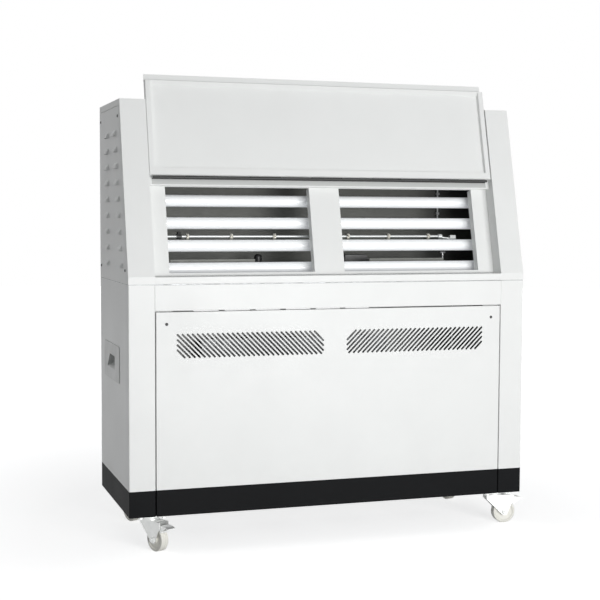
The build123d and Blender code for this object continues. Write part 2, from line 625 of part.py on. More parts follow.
# Lamps: glass tubes with metal end caps, held by sockets on two rails
lamp_spots = [LAMP_LOW + LAMP_PITCH * row for row in range(LAMP_COUNT)]
tubes = []
caps = []
sockets = []
for s in lamp_spots:
    tube = rod(slope_point(-LAMP_HALF, s, LAMP_D), slope_point(LAMP_HALF, s, LAMP_D), LAMP_R)
    tubes.append(tube - rod(slope_point(-LAMP_HALF, s, LAMP_D), slope_point(LAMP_HALF, s, LAMP_D), LAMP_R - 1.0))
    for sx in (-1, 1):
        inner = slope_point(sx * LAMP_HALF, s, LAMP_D)
        outer = slope_point(sx * (LAMP_HALF + CAP_LENGTH), s, LAMP_D)
        cap = rod(inner, outer, LAMP_R - 0.4)
        for ds in (-6.5, 6.5):
            cap += rod(slope_point(sx * (LAMP_HALF + CAP_LENGTH - 1), s + ds, LAMP_D),
                       slope_point(sx * (LAMP_HALF + CAP_LENGTH + PIN_LENGTH), s + ds, LAMP_D), 1.3)
        caps.append(cap)
        socket_x = sorted((sx * (LAMP_HALF + CAP_LENGTH + 0.3), sx * (LAMP_HALF + CAP_LENGTH + 16)))
        socket = slope_block(socket_x, (s - 17, s + 17), (LAMP_D - 14, LAMP_D + 22))
        for ds in (-6.5, 6.5):
            socket -= rod(slope_point(sx * LAMP_HALF, s + ds, LAMP_D),
                          slope_point(sx * (LAMP_HALF + CAP_LENGTH + PIN_LENGTH + 1), s + ds, LAMP_D), 1.8)
        sockets.append(socket)
nodes["lamp_tubes"] = group("lamp_tubes", tubes)
nodes["lamp_caps"] = group("lamp_caps", caps)
nodes["lamp_sockets"] = group("lamp_sockets", sockets)

rails = []
for sx in (-1, 1):
    rail_x = sorted((sx * (LAMP_HALF + CAP_LENGTH + 2), sx * (CHAMBER_HALF - LINER_SHEET - FIT)))
    rails.append(slope_block(rail_x, (LAMP_LOW - 26, lamp_spots[-1] + 26), (LAMP_D + 22.3, LAMP_D + 24.3)))
nodes["socket_rails"] = group("socket_rails", rails)

# Water pan on the deck, with a heater in it and a sump through the deck
PAN_FRONT = FRONT + 155.0
PAN_BACK = CHAMBER_BACK - 12
PAN_HALF = HALF - 60.0
PAN_RIM = JOINT_Z + 57.0
PAN_GUARD = 11.0
pan_z = (liner_floor + 0.3, PAN_RIM)
water_pan = block((-PAN_HALF, PAN_HALF), (PAN_FRONT, PAN_BACK), pan_z)
water_pan -= block((-PAN_HALF + 1.2, PAN_HALF - 1.2), (PAN_FRONT + 1.2, PAN_BACK - 1.2), (pan_z[0] + 1.2, PAN_RIM + 5))
for guard_x in ((-490, -216), (172, 436)):
    water_pan += block(guard_x, (PAN_FRONT, PAN_FRONT + 1.2), (PAN_RIM - 1, PAN_RIM + PAN_GUARD))
water_pan += rod((340, 20, pan_z[0] - 40), (340, 20, pan_z[0] + 0.6), 16.0)
water_pan -= rod((340, 20, pan_z[0] - 45), (340, 20, pan_z[0] + 5), 13.0)
nodes["water_pan"] = water_pan

HEATER_R = 5.0
heater_z = pan_z[0] + 14
heater_line = FilletPolyline((-540, -40, heater_z), (540, -40, heater_z), (540, 50, heater_z), (-540, 50, heater_z), radius=30)
heater = sweep(Plane(origin=(-540, -40, heater_z), z_dir=(1, 0, 0)) * Circle(HEATER_R), path=heater_line)
heater += block((-560, -535), (-60, 70), (heater_z - 12, heater_z + 14))
nodes["heater"] = heater

# In the pan: a float with a rounded cap, a junction box on feet, an overflow and, on the wall, a probe
pan_floor = pan_z[0] + 1.2
FLOAT_AT = (-178.0, 5.0)
level_float = rod((*FLOAT_AT, pan_floor), (*FLOAT_AT, PAN_RIM + 2), 8.0)
cap = rod((*FLOAT_AT, PAN_RIM - 2), (*FLOAT_AT, PAN_RIM + 24), 12.5)
level_float += fillet(cap.edges().sort_by(Axis.Z)[-1], 11.0)
nodes["level_float"] = level_float
BOX_X = (115.0, 203.0)
box_outline = [(BOX_X[0], PAN_RIM - 12), (BOX_X[1], PAN_RIM - 12), (BOX_X[1], PAN_RIM + 4), (BOX_X[1] - 14, PAN_RIM + 21),
               (BOX_X[0], PAN_RIM + 21)]
junction_box = plate_xz(box_outline, (-18, 22))
for x in (BOX_X[0] + 12, BOX_X[1] - 20):
    junction_box += block((x, x + 8), (-6, 10), (pan_floor, PAN_RIM - 11))
nodes["junction_box"] = junction_box
OVERFLOW_AT = (477.0, 5.0)
overflow = rod((*OVERFLOW_AT, pan_floor), (*OVERFLOW_AT, PAN_RIM + 26), 3.5)
overflow += rod((OVERFLOW_AT[0] - 9, OVERFLOW_AT[1], PAN_RIM + 26), (OVERFLOW_AT[0] + 9, OVERFLOW_AT[1], PAN_RIM + 26), 4.0)
nodes["overflow_pipe"] = overflow
PROBE_X = 499.0
wall_face = CHAMBER_BACK - LINER_SHEET
probe = rod((PROBE_X, wall_face - 8, JOINT_Z + 190), (PROBE_X, wall_face - 8, chamber_top - 30), 3.0)
for z in (JOINT_Z + 215, chamber_top - 45):
    probe += block((PROBE_X - 6, PROBE_X + 6), (wall_face - 12, wall_face), (z - 4, z + 4))
nodes["temperature_probe"] = probe

# Spray pipe in front of the back wall, between the second and third lamp
PIPE_R = 4.0
PIPE_S = 151.5
TEE_X = -463.0
RING_R = 9.5
RING_HALF = 4.5
PIPE_RIGHT = 420.0
ELBOW_R = 2.8
wall_end = slope_point(-CHAMBER_HALF + LINER_SHEET, PIPE_S, LAMP_D)
pipe = rod(wall_end, slope_point(PIPE_RIGHT, PIPE_S, LAMP_D), PIPE_R)
pipe += rod(slope_point(PIPE_RIGHT - 7, PIPE_S, LAMP_D), slope_point(PIPE_RIGHT + 6, PIPE_S, LAMP_D), 7.5)
pipe += rod(slope_point(TEE_X - 8, PIPE_S, LAMP_D), slope_point(TEE_X + 8, PIPE_S, LAMP_D), 8.0)
pipe += rod(slope_point(TEE_X, PIPE_S, LAMP_D), slope_point(TEE_X, PIPE_S + 15, LAMP_D), 6.0)
elbow_points = [
    slope_point(PIPE_RIGHT, PIPE_S, LAMP_D), slope_point(PIPE_RIGHT + 14, PIPE_S - 5, LAMP_D),
    slope_point(PIPE_RIGHT + 36, PIPE_S - 7, LAMP_D),
]
for start, end in zip(elbow_points, elbow_points[1:]):
    pipe += rod(start, end, ELBOW_R)
pipe += Pos(*elbow_points[1]) * Sphere(ELBOW_R)
pipe += slope_block((PIPE_RIGHT + 34, PIPE_RIGHT + 54), (PIPE_S - 9.5, PIPE_S + 2), (LAMP_D - 8, LAMP_D + 8))
arm_at = slope_point(PIPE_RIGHT + 44, PIPE_S - 7, LAMP_D)
arm_z = (arm_at[2] - 2, arm_at[2] + 2)
pipe += block((arm_at[0] - 6, arm_at[0] + 6), (arm_at[1], CHAMBER_BACK - LINER_SHEET), arm_z)
nodes["spray_pipe"] = pipe

nozzles = []
for x in (-436, -295, -154, -30, 95, 236, 377):
    ring = rod(slope_point(x - RING_HALF, PIPE_S, LAMP_D), slope_point(x + RING_HALF, PIPE_S, LAMP_D), RING_R)
    ring += rod(slope_point(x, PIPE_S, LAMP_D), slope_point(x, PIPE_S, LAMP_D - 15), 3.4)
    ring -= rod(slope_point(x - 9, PIPE_S, LAMP_D), slope_point(x + 9, PIPE_S, LAMP_D), PIPE_R + FIT)
    nozzles.append(ring)
nodes["spray_nozzles"] = group("spray_nozzles", nozzles)

# Equipment in the lower half
FRAME_TOP = PAN_Z + TUBE
PLATE_FRONT = BACK - 100.0
PLATE_BACK = PLATE_FRONT + 2.0
PLATE_HALF = HALF - 320.0
PLATE_LOW = FRAME_TOP + 40.0
PLATE_HIGH = LOWER_TOP - 207.0
plate = block((-PLATE_HALF, PLATE_HALF), (PLATE_FRONT, PLATE_BACK), (PLATE_LOW, PLATE_HIGH))
plate += block((-PLATE_HALF, PLATE_HALF), (PLATE_FRONT, PLATE_FRONT + 40), (PLATE_LOW, PLATE_LOW + 2))
for x in (-PLATE_HALF + 30, PLATE_HALF - 60):
    plate += block((x, x + 30), (PLATE_FRONT, frame_back - 12), (FRAME_TOP, PLATE_LOW + 2))
nodes["equipment_plate"] = plate
BALLAST = (150.0, 42.0, 44.0)
ballasts = []
for column_x in (-220, 30):
    for row in range(2):
        z = PLATE_LOW + 80 + 90 * row
        body_y = (PLATE_FRONT - FIT - BALLAST[1], PLATE_FRONT - FIT)
        body = block((column_x, column_x + BALLAST[0]), body_y, (z, z + BALLAST[2]))
        foot_x = (column_x - 14, column_x + BALLAST[0] + 14)
        foot = block(foot_x, (body_y[1] - 2, body_y[1]), (z + 6, z + BALLAST[2] - 6))
        ballasts.append(body + foot)
nodes["ballasts"] = group("ballasts", ballasts)

TANK_SIZE = (200.0, 240.0, 260.0)
TANK_WALL = 3.0
tank_x = (-HALF + 50, -HALF + 50 + TANK_SIZE[0])
tank_y = (-TANK_SIZE[1] / 2, TANK_SIZE[1] / 2)
tank_z = (FRAME_TOP, FRAME_TOP + TANK_SIZE[2])
tank = fillet(block(tank_x, tank_y, tank_z).edges().filter_by(Axis.Z), 12)
tank -= block(*[(low + TANK_WALL, high - TANK_WALL) for low, high in (tank_x, tank_y, tank_z)])
neck_x = (tank_x[0] + tank_x[1]) / 2
tank += rod((neck_x, 0, tank_z[1] - 2), (neck_x, 0, tank_z[1] + 16), 38)
nodes["water_tank"] = tank
PUMP_X = tank_x[1] + 50
PUMP_Z = PAN_Z + 42
pump = rod((PUMP_X + 20, 30, PUMP_Z), (PUMP_X + 140, 30, PUMP_Z), 32)
pump += rod((PUMP_X, 30, PUMP_Z), (PUMP_X + 22, 30, PUMP_Z), 40)
pump += block((PUMP_X + 30, PUMP_X + 130), (0, 60), (PAN_Z, PAN_Z + 20))
nodes["pump"] = pump

# Controls on the right side: panel, touch screen, rocker switch and stop button
PANEL_T = 2.0
ctrl_y = (BACK - 350, BACK - 100)
ctrl_z = (JOINT_Z + 210, JOINT_Z + 490)
face_x = HALF + PANEL_T
control = block((HALF, face_x), ctrl_y, ctrl_z)
control = fillet(control.edges().filter_by(Axis.X), 4)
screen_y = (ctrl_y[0] + 55, ctrl_y[1] - 35)
screen_z = (ctrl_z[1] - 135, ctrl_z[1] - 25)
rocker_at = (ctrl_y[0] + 65, ctrl_z[0] + 50)
stop_at = (ctrl_y[1] - 65, ctrl_z[0] + 60)
nodes["control_panel"] = control
screen = block((face_x, face_x + 5), screen_y, screen_z)
screen = fillet(screen.faces().sort_by(Axis.X)[-1].edges(), 1.5)
screen -= block((face_x + 4.2, face_x + 6), (screen_y[0] + 10, screen_y[1] - 10), (screen_z[0] + 9, screen_z[1] - 9))
nodes["touch_screen"] = screen

ROCKER = (13.0, 21.0)
ROCKER_R = 2.0
bezel = block((face_x, face_x + 6), (rocker_at[0] - 10.5, rocker_at[0] + 10.5), (rocker_at[1] - 15, rocker_at[1] + 15))
bezel -= block((face_x + 1, face_x + 7), (rocker_at[0] - ROCKER[0] / 2 - 0.4, rocker_at[0] + ROCKER[0] / 2 + 0.4),
               (rocker_at[1] - ROCKER[1] / 2 - 0.9, rocker_at[1] + ROCKER[1] / 2 + 0.9))
nodes["switch_bezel"] = bezel
pivot_x = face_x + 4.0
rocker_outline = [
    (pivot_x - 1.6, rocker_at[1] - 4), (pivot_x + 0.6, rocker_at[1] - ROCKER[1] / 2), (pivot_x + 2.2, rocker_at[1] - ROCKER[1] / 2),
    (pivot_x + 2.6, rocker_at[1]), (pivot_x + 5.4, rocker_at[1] + ROCKER[1] / 2), (pivot_x + 1.8, rocker_at[1] + ROCKER[1] / 2),
    (pivot_x - 1.6, rocker_at[1] + 4),
]
nodes["rocker"] = plate_xz(rocker_outline, (rocker_at[0] - ROCKER[0] / 2, rocker_at[0] + ROCKER[0] / 2))

STOP_R = 17.0
STOP_TRAVEL = 4.0
collar = rod((face_x, *stop_at), (face_x + 8, *stop_at), 15)
collar -= rod((face_x + 2, *stop_at), (face_x + 9, *stop_at), 9.05)
nodes["stop_collar"] = collar
stop = rod((face_x + 2 + STOP_TRAVEL + FIT, *stop_at), (face_x + 8 + STOP_TRAVEL + FIT, *stop_at), 9.0)
mushroom = rod((face_x + 8 + STOP_TRAVEL + FIT, *stop_at), (face_x + 20, *stop_at), STOP_R)
stop += fillet(mushroom.edges().sort_by(Axis.X)[-1], 3.0)
nodes["stop_button"] = stop

# Casters, drawn with the wheel trailing along X under a swivel axis at the origin
RACE_Z = CASTER_HEIGHT - 10
FORK_TOP = RACE_Z - FIT
FORK_DECK = FORK_TOP - 4
PIVOT = (60.0, 80.0)
PIVOT_R = 3.0
SHOE = (68.0, 65.5)


def caster_plate():
    """Top plate with four bolts and the upper race under it."""
    plate = Box(90, 70, 4, align=(Align.CENTER, Align.CENTER, Align.MAX))
    plate = fillet(plate.edges().filter_by(Axis.Z), 8)
    whole = Pos(0, 0, CASTER_HEIGHT) * plate
    whole += rod((0, 0, RACE_Z), (0, 0, CASTER_HEIGHT - 4), 26)
    for sx in (-1, 1):
        for sy in (-1, 1):
            whole += hexagon((sx * 35, sy * 26, CASTER_HEIGHT - 4 - 5), (0, 0, 1), 13, 5)
    return whole - rod((0, 0, RACE_Z - 5), (0, 0, CASTER_HEIGHT - 1.5), KING_R + RUN_FIT)


def caster_fork(brake):
    """Swivel fork with king pin, two legs, axle and nuts; a braked one reaches back to the pedal."""
    reach = PIVOT[0] + 7 if brake else 40.0
    head = rod((0, 0, FORK_DECK), (0, 0, FORK_TOP), 27)
    head += rod((0, 0, FORK_DECK), (0, 0, CASTER_HEIGHT - 2), KING_R)
    head += block((-28, 40), (-LEG_IN - LEG, LEG_IN + LEG), (FORK_DECK - 3, FORK_DECK + 0.5))
    shape = [(-29, FORK_DECK), (reach, FORK_DECK), (reach, PIVOT[1] - 6), (PIVOT[0] - 2, PIVOT[1] - 17)]
    if not brake:
        shape = [(-29, FORK_DECK), (reach, FORK_DECK), (reach + 4, PIVOT[1] - 12)]
    shape += [(TRAIL + 14, WHEEL_R + 5), (TRAIL + 10, WHEEL_R - 6), (TRAIL + 4, WHEEL_R - 12), (TRAIL - 4, WHEEL_R - 12),
              (TRAIL - 12, WHEEL_R - 6), (TRAIL - 27, WHEEL_R + 9), (TRAIL - 47, WHEEL_R + 29), (-28, FORK_DECK - 12)]
    for sy in (-1, 1):
        leg_y = sorted((sy * LEG_IN, sy * (LEG_IN + LEG)))
        head += plate_xz(shape, leg_y)
    axle = rod((TRAIL, -LEG_IN - LEG - 9, WHEEL_R), (TRAIL, LEG_IN + LEG + 9, WHEEL_R), AXLE_R)
    axle += hexagon((TRAIL, LEG_IN + LEG, WHEEL_R), (0, 1, 0), 15, 6)
    axle += hexagon((TRAIL, -LEG_IN - LEG, WHEEL_R), (0, -1, 0), 15, 6)
    whole = head + axle
    if brake:
        whole -= rod((PIVOT[0], -40, PIVOT[1]), (PIVOT[0], 40, PIVOT[1]), PIVOT_R + RUN_FIT)
    return whole


def caster_wheel():
    """Wheel with a dished disc, a grooved tread and a hub bored for the axle."""
    hub = LEG_IN - 0.5
    bore_r = AXLE_R + RUN_FIT
    half = [(bore_r, 0), (bore_r, hub), (11, hub), (12.5, WHEEL_HALF - 4), (28, WHEEL_HALF - 3), (31, WHEEL_HALF),
            (35.5, WHEEL_HALF), (WHEEL_R, WHEEL_HALF - 2.5), (WHEEL_R, 3.0), (WHEEL_R - 2.2, 1.8), (WHEEL_R - 2.2, 0)]
    outline = half + [(r, -y) for r, y in reversed(half[1:-1])]
    profile = Plane.XY * Polygon(*outline, align=None)
    return Pos(TRAIL, 0, WHEEL_R) * revolve(profile, axis=Axis.Y)


def caster_pedal():
    """Brake pedal: ears on a cross pin, a shoe over the tread and a ribbed foot plate."""
    ear_y = LEG_IN - 0.6
    ear = [(PIVOT[0] - 6, PIVOT[1] - 3), (PIVOT[0] - 3, PIVOT[1] + 6), (PIVOT[0] + 8, PIVOT[1] + 6),
           (PEDAL_TIP - 12, PIVOT[1] + 3), (PEDAL_TIP - 12, PIVOT[1] - 2), (SHOE[0] + 4, SHOE[1]), (SHOE[0] - 2, SHOE[1] - 1)]
    whole = plate_xz(ear, (ear_y - 2.5, ear_y)) + plate_xz(ear, (-ear_y, -ear_y + 2.5))
    tread = [(PIVOT[0] + 9, PIVOT[1] + 3.5), (PIVOT[0] + 9, PIVOT[1] + 6), (PEDAL_TIP - 9, PIVOT[1] + 3),
             (PEDAL_TIP, PIVOT[1] - 1), (PEDAL_TIP, PIVOT[1] - 4), (PEDAL_TIP - 10, PIVOT[1])]
    whole += plate_xz(tread, (-ear_y, ear_y))
    whole += rod((PIVOT[0], -LEG_IN - LEG, PIVOT[1]), (PIVOT[0], LEG_IN + LEG, PIVOT[1]), PIVOT_R)
    whole += rod((SHOE[0], -ear_y, SHOE[1]), (SHOE[0], ear_y, SHOE[1]), 3.6)
    fall = 3.0 / (PEDAL_TIP - 9 - PIVOT[0] - 9)
    for x in (74, 80, 86):
        z = PIVOT[1] + 5.6 - fall * (x - PIVOT[0] - 9)
        whole += rod((x, -ear_y + 1, z), (x, ear_y - 1, z), 1.5)
    return whole


# Each caster has its own swivel angle at rest: degrees from +X towards the front
caster_turns = {"front_left": 64.0, "front_right": 6.0, "rear_left": 65.0, "rear_right": 80.0}
caster_places = {}
for (name, turn), (x, y) in zip(caster_turns.items(), caster_spots):
    caster_places[name] = Location((x, y, 0), (0, 0, -turn))

plates = [Pos(x, y, 0) * caster_plate() for x, y in caster_spots]
nodes["caster_plates"] = group("caster_plates", plates)
wheel = caster_wheel()
pedal = caster_pedal()
for name, place in caster_places.items():
    braked = name.startswith("front")
    nodes["fork_" + name] = place * caster_fork(braked)
    nodes["wheel_" + name] = place * wheel
    if braked:
        nodes["pedal_" + name] = place * pedal

# Write one file for each node
for name, shape in nodes.items():
    shape.label = name
    export_step(shape, "parts/" + name + ".step")
print(len(nodes), "nodes")
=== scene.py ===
# %% [markdown]
# # A weathering test chamber
# The object is a sheet-metal laboratory cabinet on casters. Its lower half is a plain box with a slotted
# service panel, and its upper half leans back like a desk. Under a lid that folds open lie two windows, and
# behind them four fluorescent lamps. The solids come from a CAD model and stay where they are. This
# notebook gives them finished surfaces, and makes again, in finer form, what repeats or what a CAD model
# leaves coarse.

# %% Load the frame
import json
from math import atan2, cos, pi, radians, sin, sqrt, tan

import bmesh
import bpy
from mathutils import Matrix, Vector


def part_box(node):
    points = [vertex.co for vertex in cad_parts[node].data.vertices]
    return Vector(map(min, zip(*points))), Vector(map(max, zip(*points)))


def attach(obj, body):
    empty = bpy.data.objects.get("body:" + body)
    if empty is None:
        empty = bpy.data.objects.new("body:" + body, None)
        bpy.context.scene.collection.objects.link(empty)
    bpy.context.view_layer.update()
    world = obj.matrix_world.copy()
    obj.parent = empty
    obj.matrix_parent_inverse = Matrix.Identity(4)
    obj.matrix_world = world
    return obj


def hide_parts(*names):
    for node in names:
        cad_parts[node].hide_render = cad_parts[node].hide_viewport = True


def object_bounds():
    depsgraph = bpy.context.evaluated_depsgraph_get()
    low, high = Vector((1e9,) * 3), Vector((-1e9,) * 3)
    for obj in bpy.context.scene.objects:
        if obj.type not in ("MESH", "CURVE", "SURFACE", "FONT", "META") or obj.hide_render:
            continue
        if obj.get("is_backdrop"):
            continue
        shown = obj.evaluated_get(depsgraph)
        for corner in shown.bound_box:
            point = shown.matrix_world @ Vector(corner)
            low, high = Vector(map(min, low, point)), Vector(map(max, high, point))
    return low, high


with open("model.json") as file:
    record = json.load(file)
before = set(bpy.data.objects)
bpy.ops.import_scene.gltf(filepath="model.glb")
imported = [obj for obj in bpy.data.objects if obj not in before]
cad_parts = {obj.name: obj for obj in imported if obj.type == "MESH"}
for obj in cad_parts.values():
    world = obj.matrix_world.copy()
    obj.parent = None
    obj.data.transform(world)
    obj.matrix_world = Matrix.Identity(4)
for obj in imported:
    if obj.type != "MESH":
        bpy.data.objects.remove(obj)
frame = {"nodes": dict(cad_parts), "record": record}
cad_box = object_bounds()
nodes = frame["nodes"]
bodies = frame["record"]["behaviour"]["bodies"]
body_of_node = {node: body for body, members in bodies.items() for node in members}
slot_of_node = {part["node"]: part["material_slot"] for part in frame["record"]["subparts"]}
print(len(nodes), "nodes on", len(bodies), "bodies; box", [round(v, 3) for v in cad_box[1] - cad_box[0]])

# %% [markdown]
# ## Named places
# The front of the upper half is a slope. Most of what shows lies on it, so one helper turns a place on the
# slope into a point of the room: along X, up the slope, and inward from it. The foot and the top of the
# slope are read from the frame, and its run back is the CAD model's own size.

# %% The cabinet's main planes and the slope
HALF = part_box("side_panel_right")[1].x
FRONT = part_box("front_sill")[0].y
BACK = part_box("rear_panel_lower")[1].y
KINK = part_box("front_sill")[1].z
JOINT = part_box("front_sill")[0].z
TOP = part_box("top_cover")[1].z
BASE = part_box("kick_surround")[0].z
SLOPE_RUN = 0.135
SLOPE = atan2(SLOPE_RUN, TOP - KINK)
LEAN = tan(SLOPE)


def on_slope(x, up, inward):
    """Point of the room for a place on the slope."""
    y = FRONT + up * sin(SLOPE) + inward * cos(SLOPE)
    return Vector((x, y, KINK + up * cos(SLOPE) - inward * sin(SLOPE)))


slope_turn = Matrix.Translation(on_slope(0, 0, 0)) @ Matrix.Rotation(pi / 2 - SLOPE, 4, "X")
print("slope", round(SLOPE * 180 / pi, 2), "degrees")

# %% [markdown]
# ## Camera
# The photograph was taken from the front left at chest height with a long lens. Its place and turn were
# worked out from the corners of the cabinet, so the render lies over the photograph.

# %% Camera
CAMERA_AT = Vector((-1.34209, -3.99792, 1.01845))
CAMERA_YAW = 0.31601
CAMERA_PITCH = 0.06682
CAMERA_ROLL = 0.00439
FOCAL_PIXELS = 1281.83
IMAGE_PIXELS = 600
SENSOR = 36.0


def camera_axes():
    """Right, up and forward of the camera."""
    level = Vector((sin(CAMERA_YAW), cos(CAMERA_YAW), 0))
    side = Vector((cos(CAMERA_YAW), -sin(CAMERA_YAW), 0))
    rise = Vector((0, 0, 1))
    forward = level * cos(CAMERA_PITCH) - rise * sin(CAMERA_PITCH)
    up = rise * cos(CAMERA_PITCH) + level * sin(CAMERA_PITCH)
    right = side * cos(CAMERA_ROLL) + up * sin(CAMERA_ROLL)
    return right, up * cos(CAMERA_ROLL) - side * sin(CAMERA_ROLL), forward


right, up, forward = camera_axes()
camera = bpy.data.objects.new("Camera", bpy.data.cameras.new("Camera"))
bpy.context.scene.collection.objects.link(camera)
camera.matrix_world = Matrix.Translation(CAMERA_AT) @ Matrix((right, up, -forward)).transposed().to_4x4()
camera.data.sensor_width = SENSOR
camera.data.lens = FOCAL_PIXELS / IMAGE_PIXELS * SENSOR
camera.data.clip_start = 0.1
camera.data.clip_end = 60
bpy.context.scene.camera = camera
print("lens", round(camera.data.lens, 1), "mm")

# %% [markdown]
# ## Node trees as Python expressions
# Shaders and Geometry Nodes are both graphs. Written node by node they hide what they work out. Here a
# small class wraps a socket, so `1 - mask * 0.3` adds the Math nodes by itself, and one method adds any
# other node. The same two classes serve both kinds of tree.

# %% A socket that can be calculated with
class Wire:
    """An output socket. Arithmetic on it adds Math nodes to its tree."""

    def __init__(self, net, socket):
        self.net = net
        self.socket = socket

    def maths(self, operation, *values):
        """One Math node on the given values."""
        return self.net.add("ShaderNodeMath", {"operation": operation}, values)

    def __add__(self, other):
        return self.maths("ADD", self, other)

    __radd__ = __add__

    def __mul__(self, other):
        return self.maths("MULTIPLY", self, other)

    __rmul__ = __mul__

    def __sub__(self, other):
        return self.maths("SUBTRACT", self, other)

    def __rsub__(self, other):
        return self.maths("SUBTRACT", other, self)

    def __truediv__(self, other):
        return self.maths("DIVIDE", self, other)

    def __rtruediv__(self, other):
        return self.maths("DIVIDE", other, self)

    def least(self, other):
        """The smaller of two values."""
        return self.maths("MINIMUM", self, other)

    def most(self, other):
        """The larger of two values."""
        return self.maths("MAXIMUM", self, other)

    def above(self, other):
        """1 where this is greater than the other value, and 0 elsewhere."""
        return self.maths("GREATER_THAN", self, other)


# %% A node tree that grows one node at a time
class Net:
    """Adds nodes to a tree and joins them."""

    def __init__(self, tree):
        self.tree = tree

    def add(self, kind, settings=None, inputs=(), output=0):
        """A node: first its settings, then the values or wires of its sockets. Gives back an output."""
        node = self.tree.nodes.new(kind)
        for name, value in (settings or {}).items():
            setattr(node, name, value)
        for key, value in inputs.items() if isinstance(inputs, dict) else enumerate(inputs):
            self.join(self.pick(node.inputs, key), value)
        return Wire(self, self.pick(node.outputs, output))

    def pick(self, sockets, key):
        """The socket with that number, or the one in use with that name."""
        if isinstance(key, int):
            return sockets[key]
        return next(socket for socket in sockets if socket.name == key and socket.enabled)

    def join(self, socket, value):
        """Links a wire to the socket, or sets the socket's value. A list is linked wire by wire."""
        if isinstance(value, Wire):
            self.tree.links.new(value.socket, socket)
        elif isinstance(value, list):
            for wire in value:
                self.tree.links.new(wire.socket, socket)
        elif value is not None:
            socket.default_value = value

    def vector(self, **parts):
        """A vector from the named parts x, y and z. What isn't given is 0."""
        return self.add("ShaderNodeCombineXYZ", {}, {name.upper(): value for name, value in parts.items()})


print("wires and nets ready")

# %% [markdown]
# ## Finishes
# Powder coat is the skin of almost everything that shows. It is a thick paint melted in an oven, which
# leaves a fine orange-peel surface and a soft gloss. Every finish below starts from the same Principled
# shader and adds what a hand lens would show: the peel, spangle, brush lines, dust and worn spots. All
# patterns read object coordinates, which here are metres of the room, so a scale of 900 is about one bump
# in a millimetre.

# %% The start of every finish
class Finish(Net):
    """A material with a Principled shader at its end."""

    def __init__(self, name, colour, roughness, metallic=0.0):
        self.material = bpy.data.materials.new(name)
        self.material.use_nodes = True
        super().__init__(self.material.node_tree)
        self.shader = next(node for node in self.tree.nodes if node.type == "BSDF_PRINCIPLED")
        self.colour = (*colour, 1)
        self.set("Base Color", self.colour)
        self.set("Roughness", roughness)
        self.set("Metallic", metallic)
        self.place = self.add("ShaderNodeTexCoord", output="Object")

    def set(self, name, value):
        """Value or wire of one of the shader's sockets."""
        self.join(self.shader.inputs[name], value)

    def stretched(self, scale):
        """Object coordinates multiplied along X, Y and Z."""
        return self.add("ShaderNodeMapping", {}, {"Vector": self.place, "Scale": scale})

    def noise(self, scale, detail=3.0, where=None):
        """Soft noise from 0 to 1."""
        return self.add("ShaderNodeTexNoise", {},
                        {"Vector": where or self.place, "Scale": scale, "Detail": detail})

    def cells(self, scale, output="Color"):
        """Random cells, as in spangle."""
        return self.add("ShaderNodeTexVoronoi", {}, {"Vector": self.place, "Scale": scale}, output)

    def stepped(self, value, low, high):
        """The value spread so that low becomes 0 and high becomes 1."""
        return self.add("ShaderNodeMapRange", {"clamp": True},
                        {"Value": value, "From Min": low, "From Max": high})

    def along(self, axis):
        """Place along X, Y or Z, in metres. Along Z it is the height above the floor."""
        return self.add("ShaderNodeSeparateXYZ", {}, [self.place], axis)

    def blend(self, factor, first, second):
        """Colour between two colours."""
        return self.add("ShaderNodeMix", {"data_type": "RGBA"}, {0: factor, 6: first, 7: second}, 2)

    def tone(self, factor, share):
        """The base colour, darkened to a share of itself where the factor is 1."""
        dark = tuple(c * share for c in self.colour[:3])
        self.set("Base Color", self.blend(factor, self.colour, (*dark, 1)))

    def bump(self, height, strength, distance):
        """A relief on the surface."""
        values = {"Height": height, "Strength": strength, "Distance": distance}
        self.set("Normal", self.add("ShaderNodeBump", {}, values))


print("finish helper ready")


# %% [markdown]
# ### Powder coat
# Three layers of noise are enough: the peel as a relief, a broad uneven gloss where the coat is thicker,
# and a little grey dust that settles toward the floor.

# %% Powder coat, pale and black
def powder_coat(name, colour, roughness, peel, grain, shine=0.45):
    """Oven-baked paint: orange peel, uneven gloss and a trace of dust low down."""
    finish = Finish(name, colour, roughness)
    coarse = finish.noise(420.0, 2.0)
    fine = finish.noise(1500.0, 3.0)
    finish.bump(coarse * 0.65 + fine * 0.35, peel, 0.0004)
    broad = finish.noise(6.0, 4.0)
    finish.set("Roughness", broad * 0.10 + fine * grain + (roughness - 0.05 - grain / 2))
    dust = finish.stepped(finish.along("Z"), 0.26, 0.10) * finish.stepped(finish.noise(38.0, 6.0), 0.35, 0.75)
    clouds = finish.stepped(broad, 0.30, 0.80) * 0.35 + dust * 0.65
    finish.tone(clouds, 0.90)
    finish.set("Specular IOR Level", shine)
    return finish.material


WHITE_PAINT = (0.835, 0.845, 0.835)
white_paint = powder_coat("Pale powder coat", WHITE_PAINT, 0.42, 0.22, 0.06)
black_paint = powder_coat("Black textured coat", (0.0105, 0.0110, 0.0118), 0.60, 0.40, 0.10, 0.05)
print("powder coats:", white_paint.name, "and", black_paint.name)


# %% [markdown]
# ### Bare and plated metal
# Zinc plate on the caster parts is bright, with cloudy patches. Coated sheet shows spangle, the flat
# crystals of the zinc bath. The stainless sheet of the chamber is brushed along its length, and its nearly
# black colour is painted shade for the dim inside of the chamber.

# %% Zinc, stainless steel and aluminium
def zinc_plate():
    """Bright plate with cloudy patches and fine scratches."""
    finish = Finish("Bright zinc plate", (0.82, 0.83, 0.82), 0.36, 0.62)
    cloud = finish.stepped(finish.noise(60.0, 3.0), 0.35, 0.75)
    scratch = finish.noise(60.0, 4.0, finish.stretched((30.0, 30.0, 1.5)))
    finish.set("Roughness", cloud * 0.10 + scratch * 0.08 + 0.30)
    finish.tone(cloud, 0.93)
    finish.bump(scratch, 0.04, 0.0002)
    return finish.material


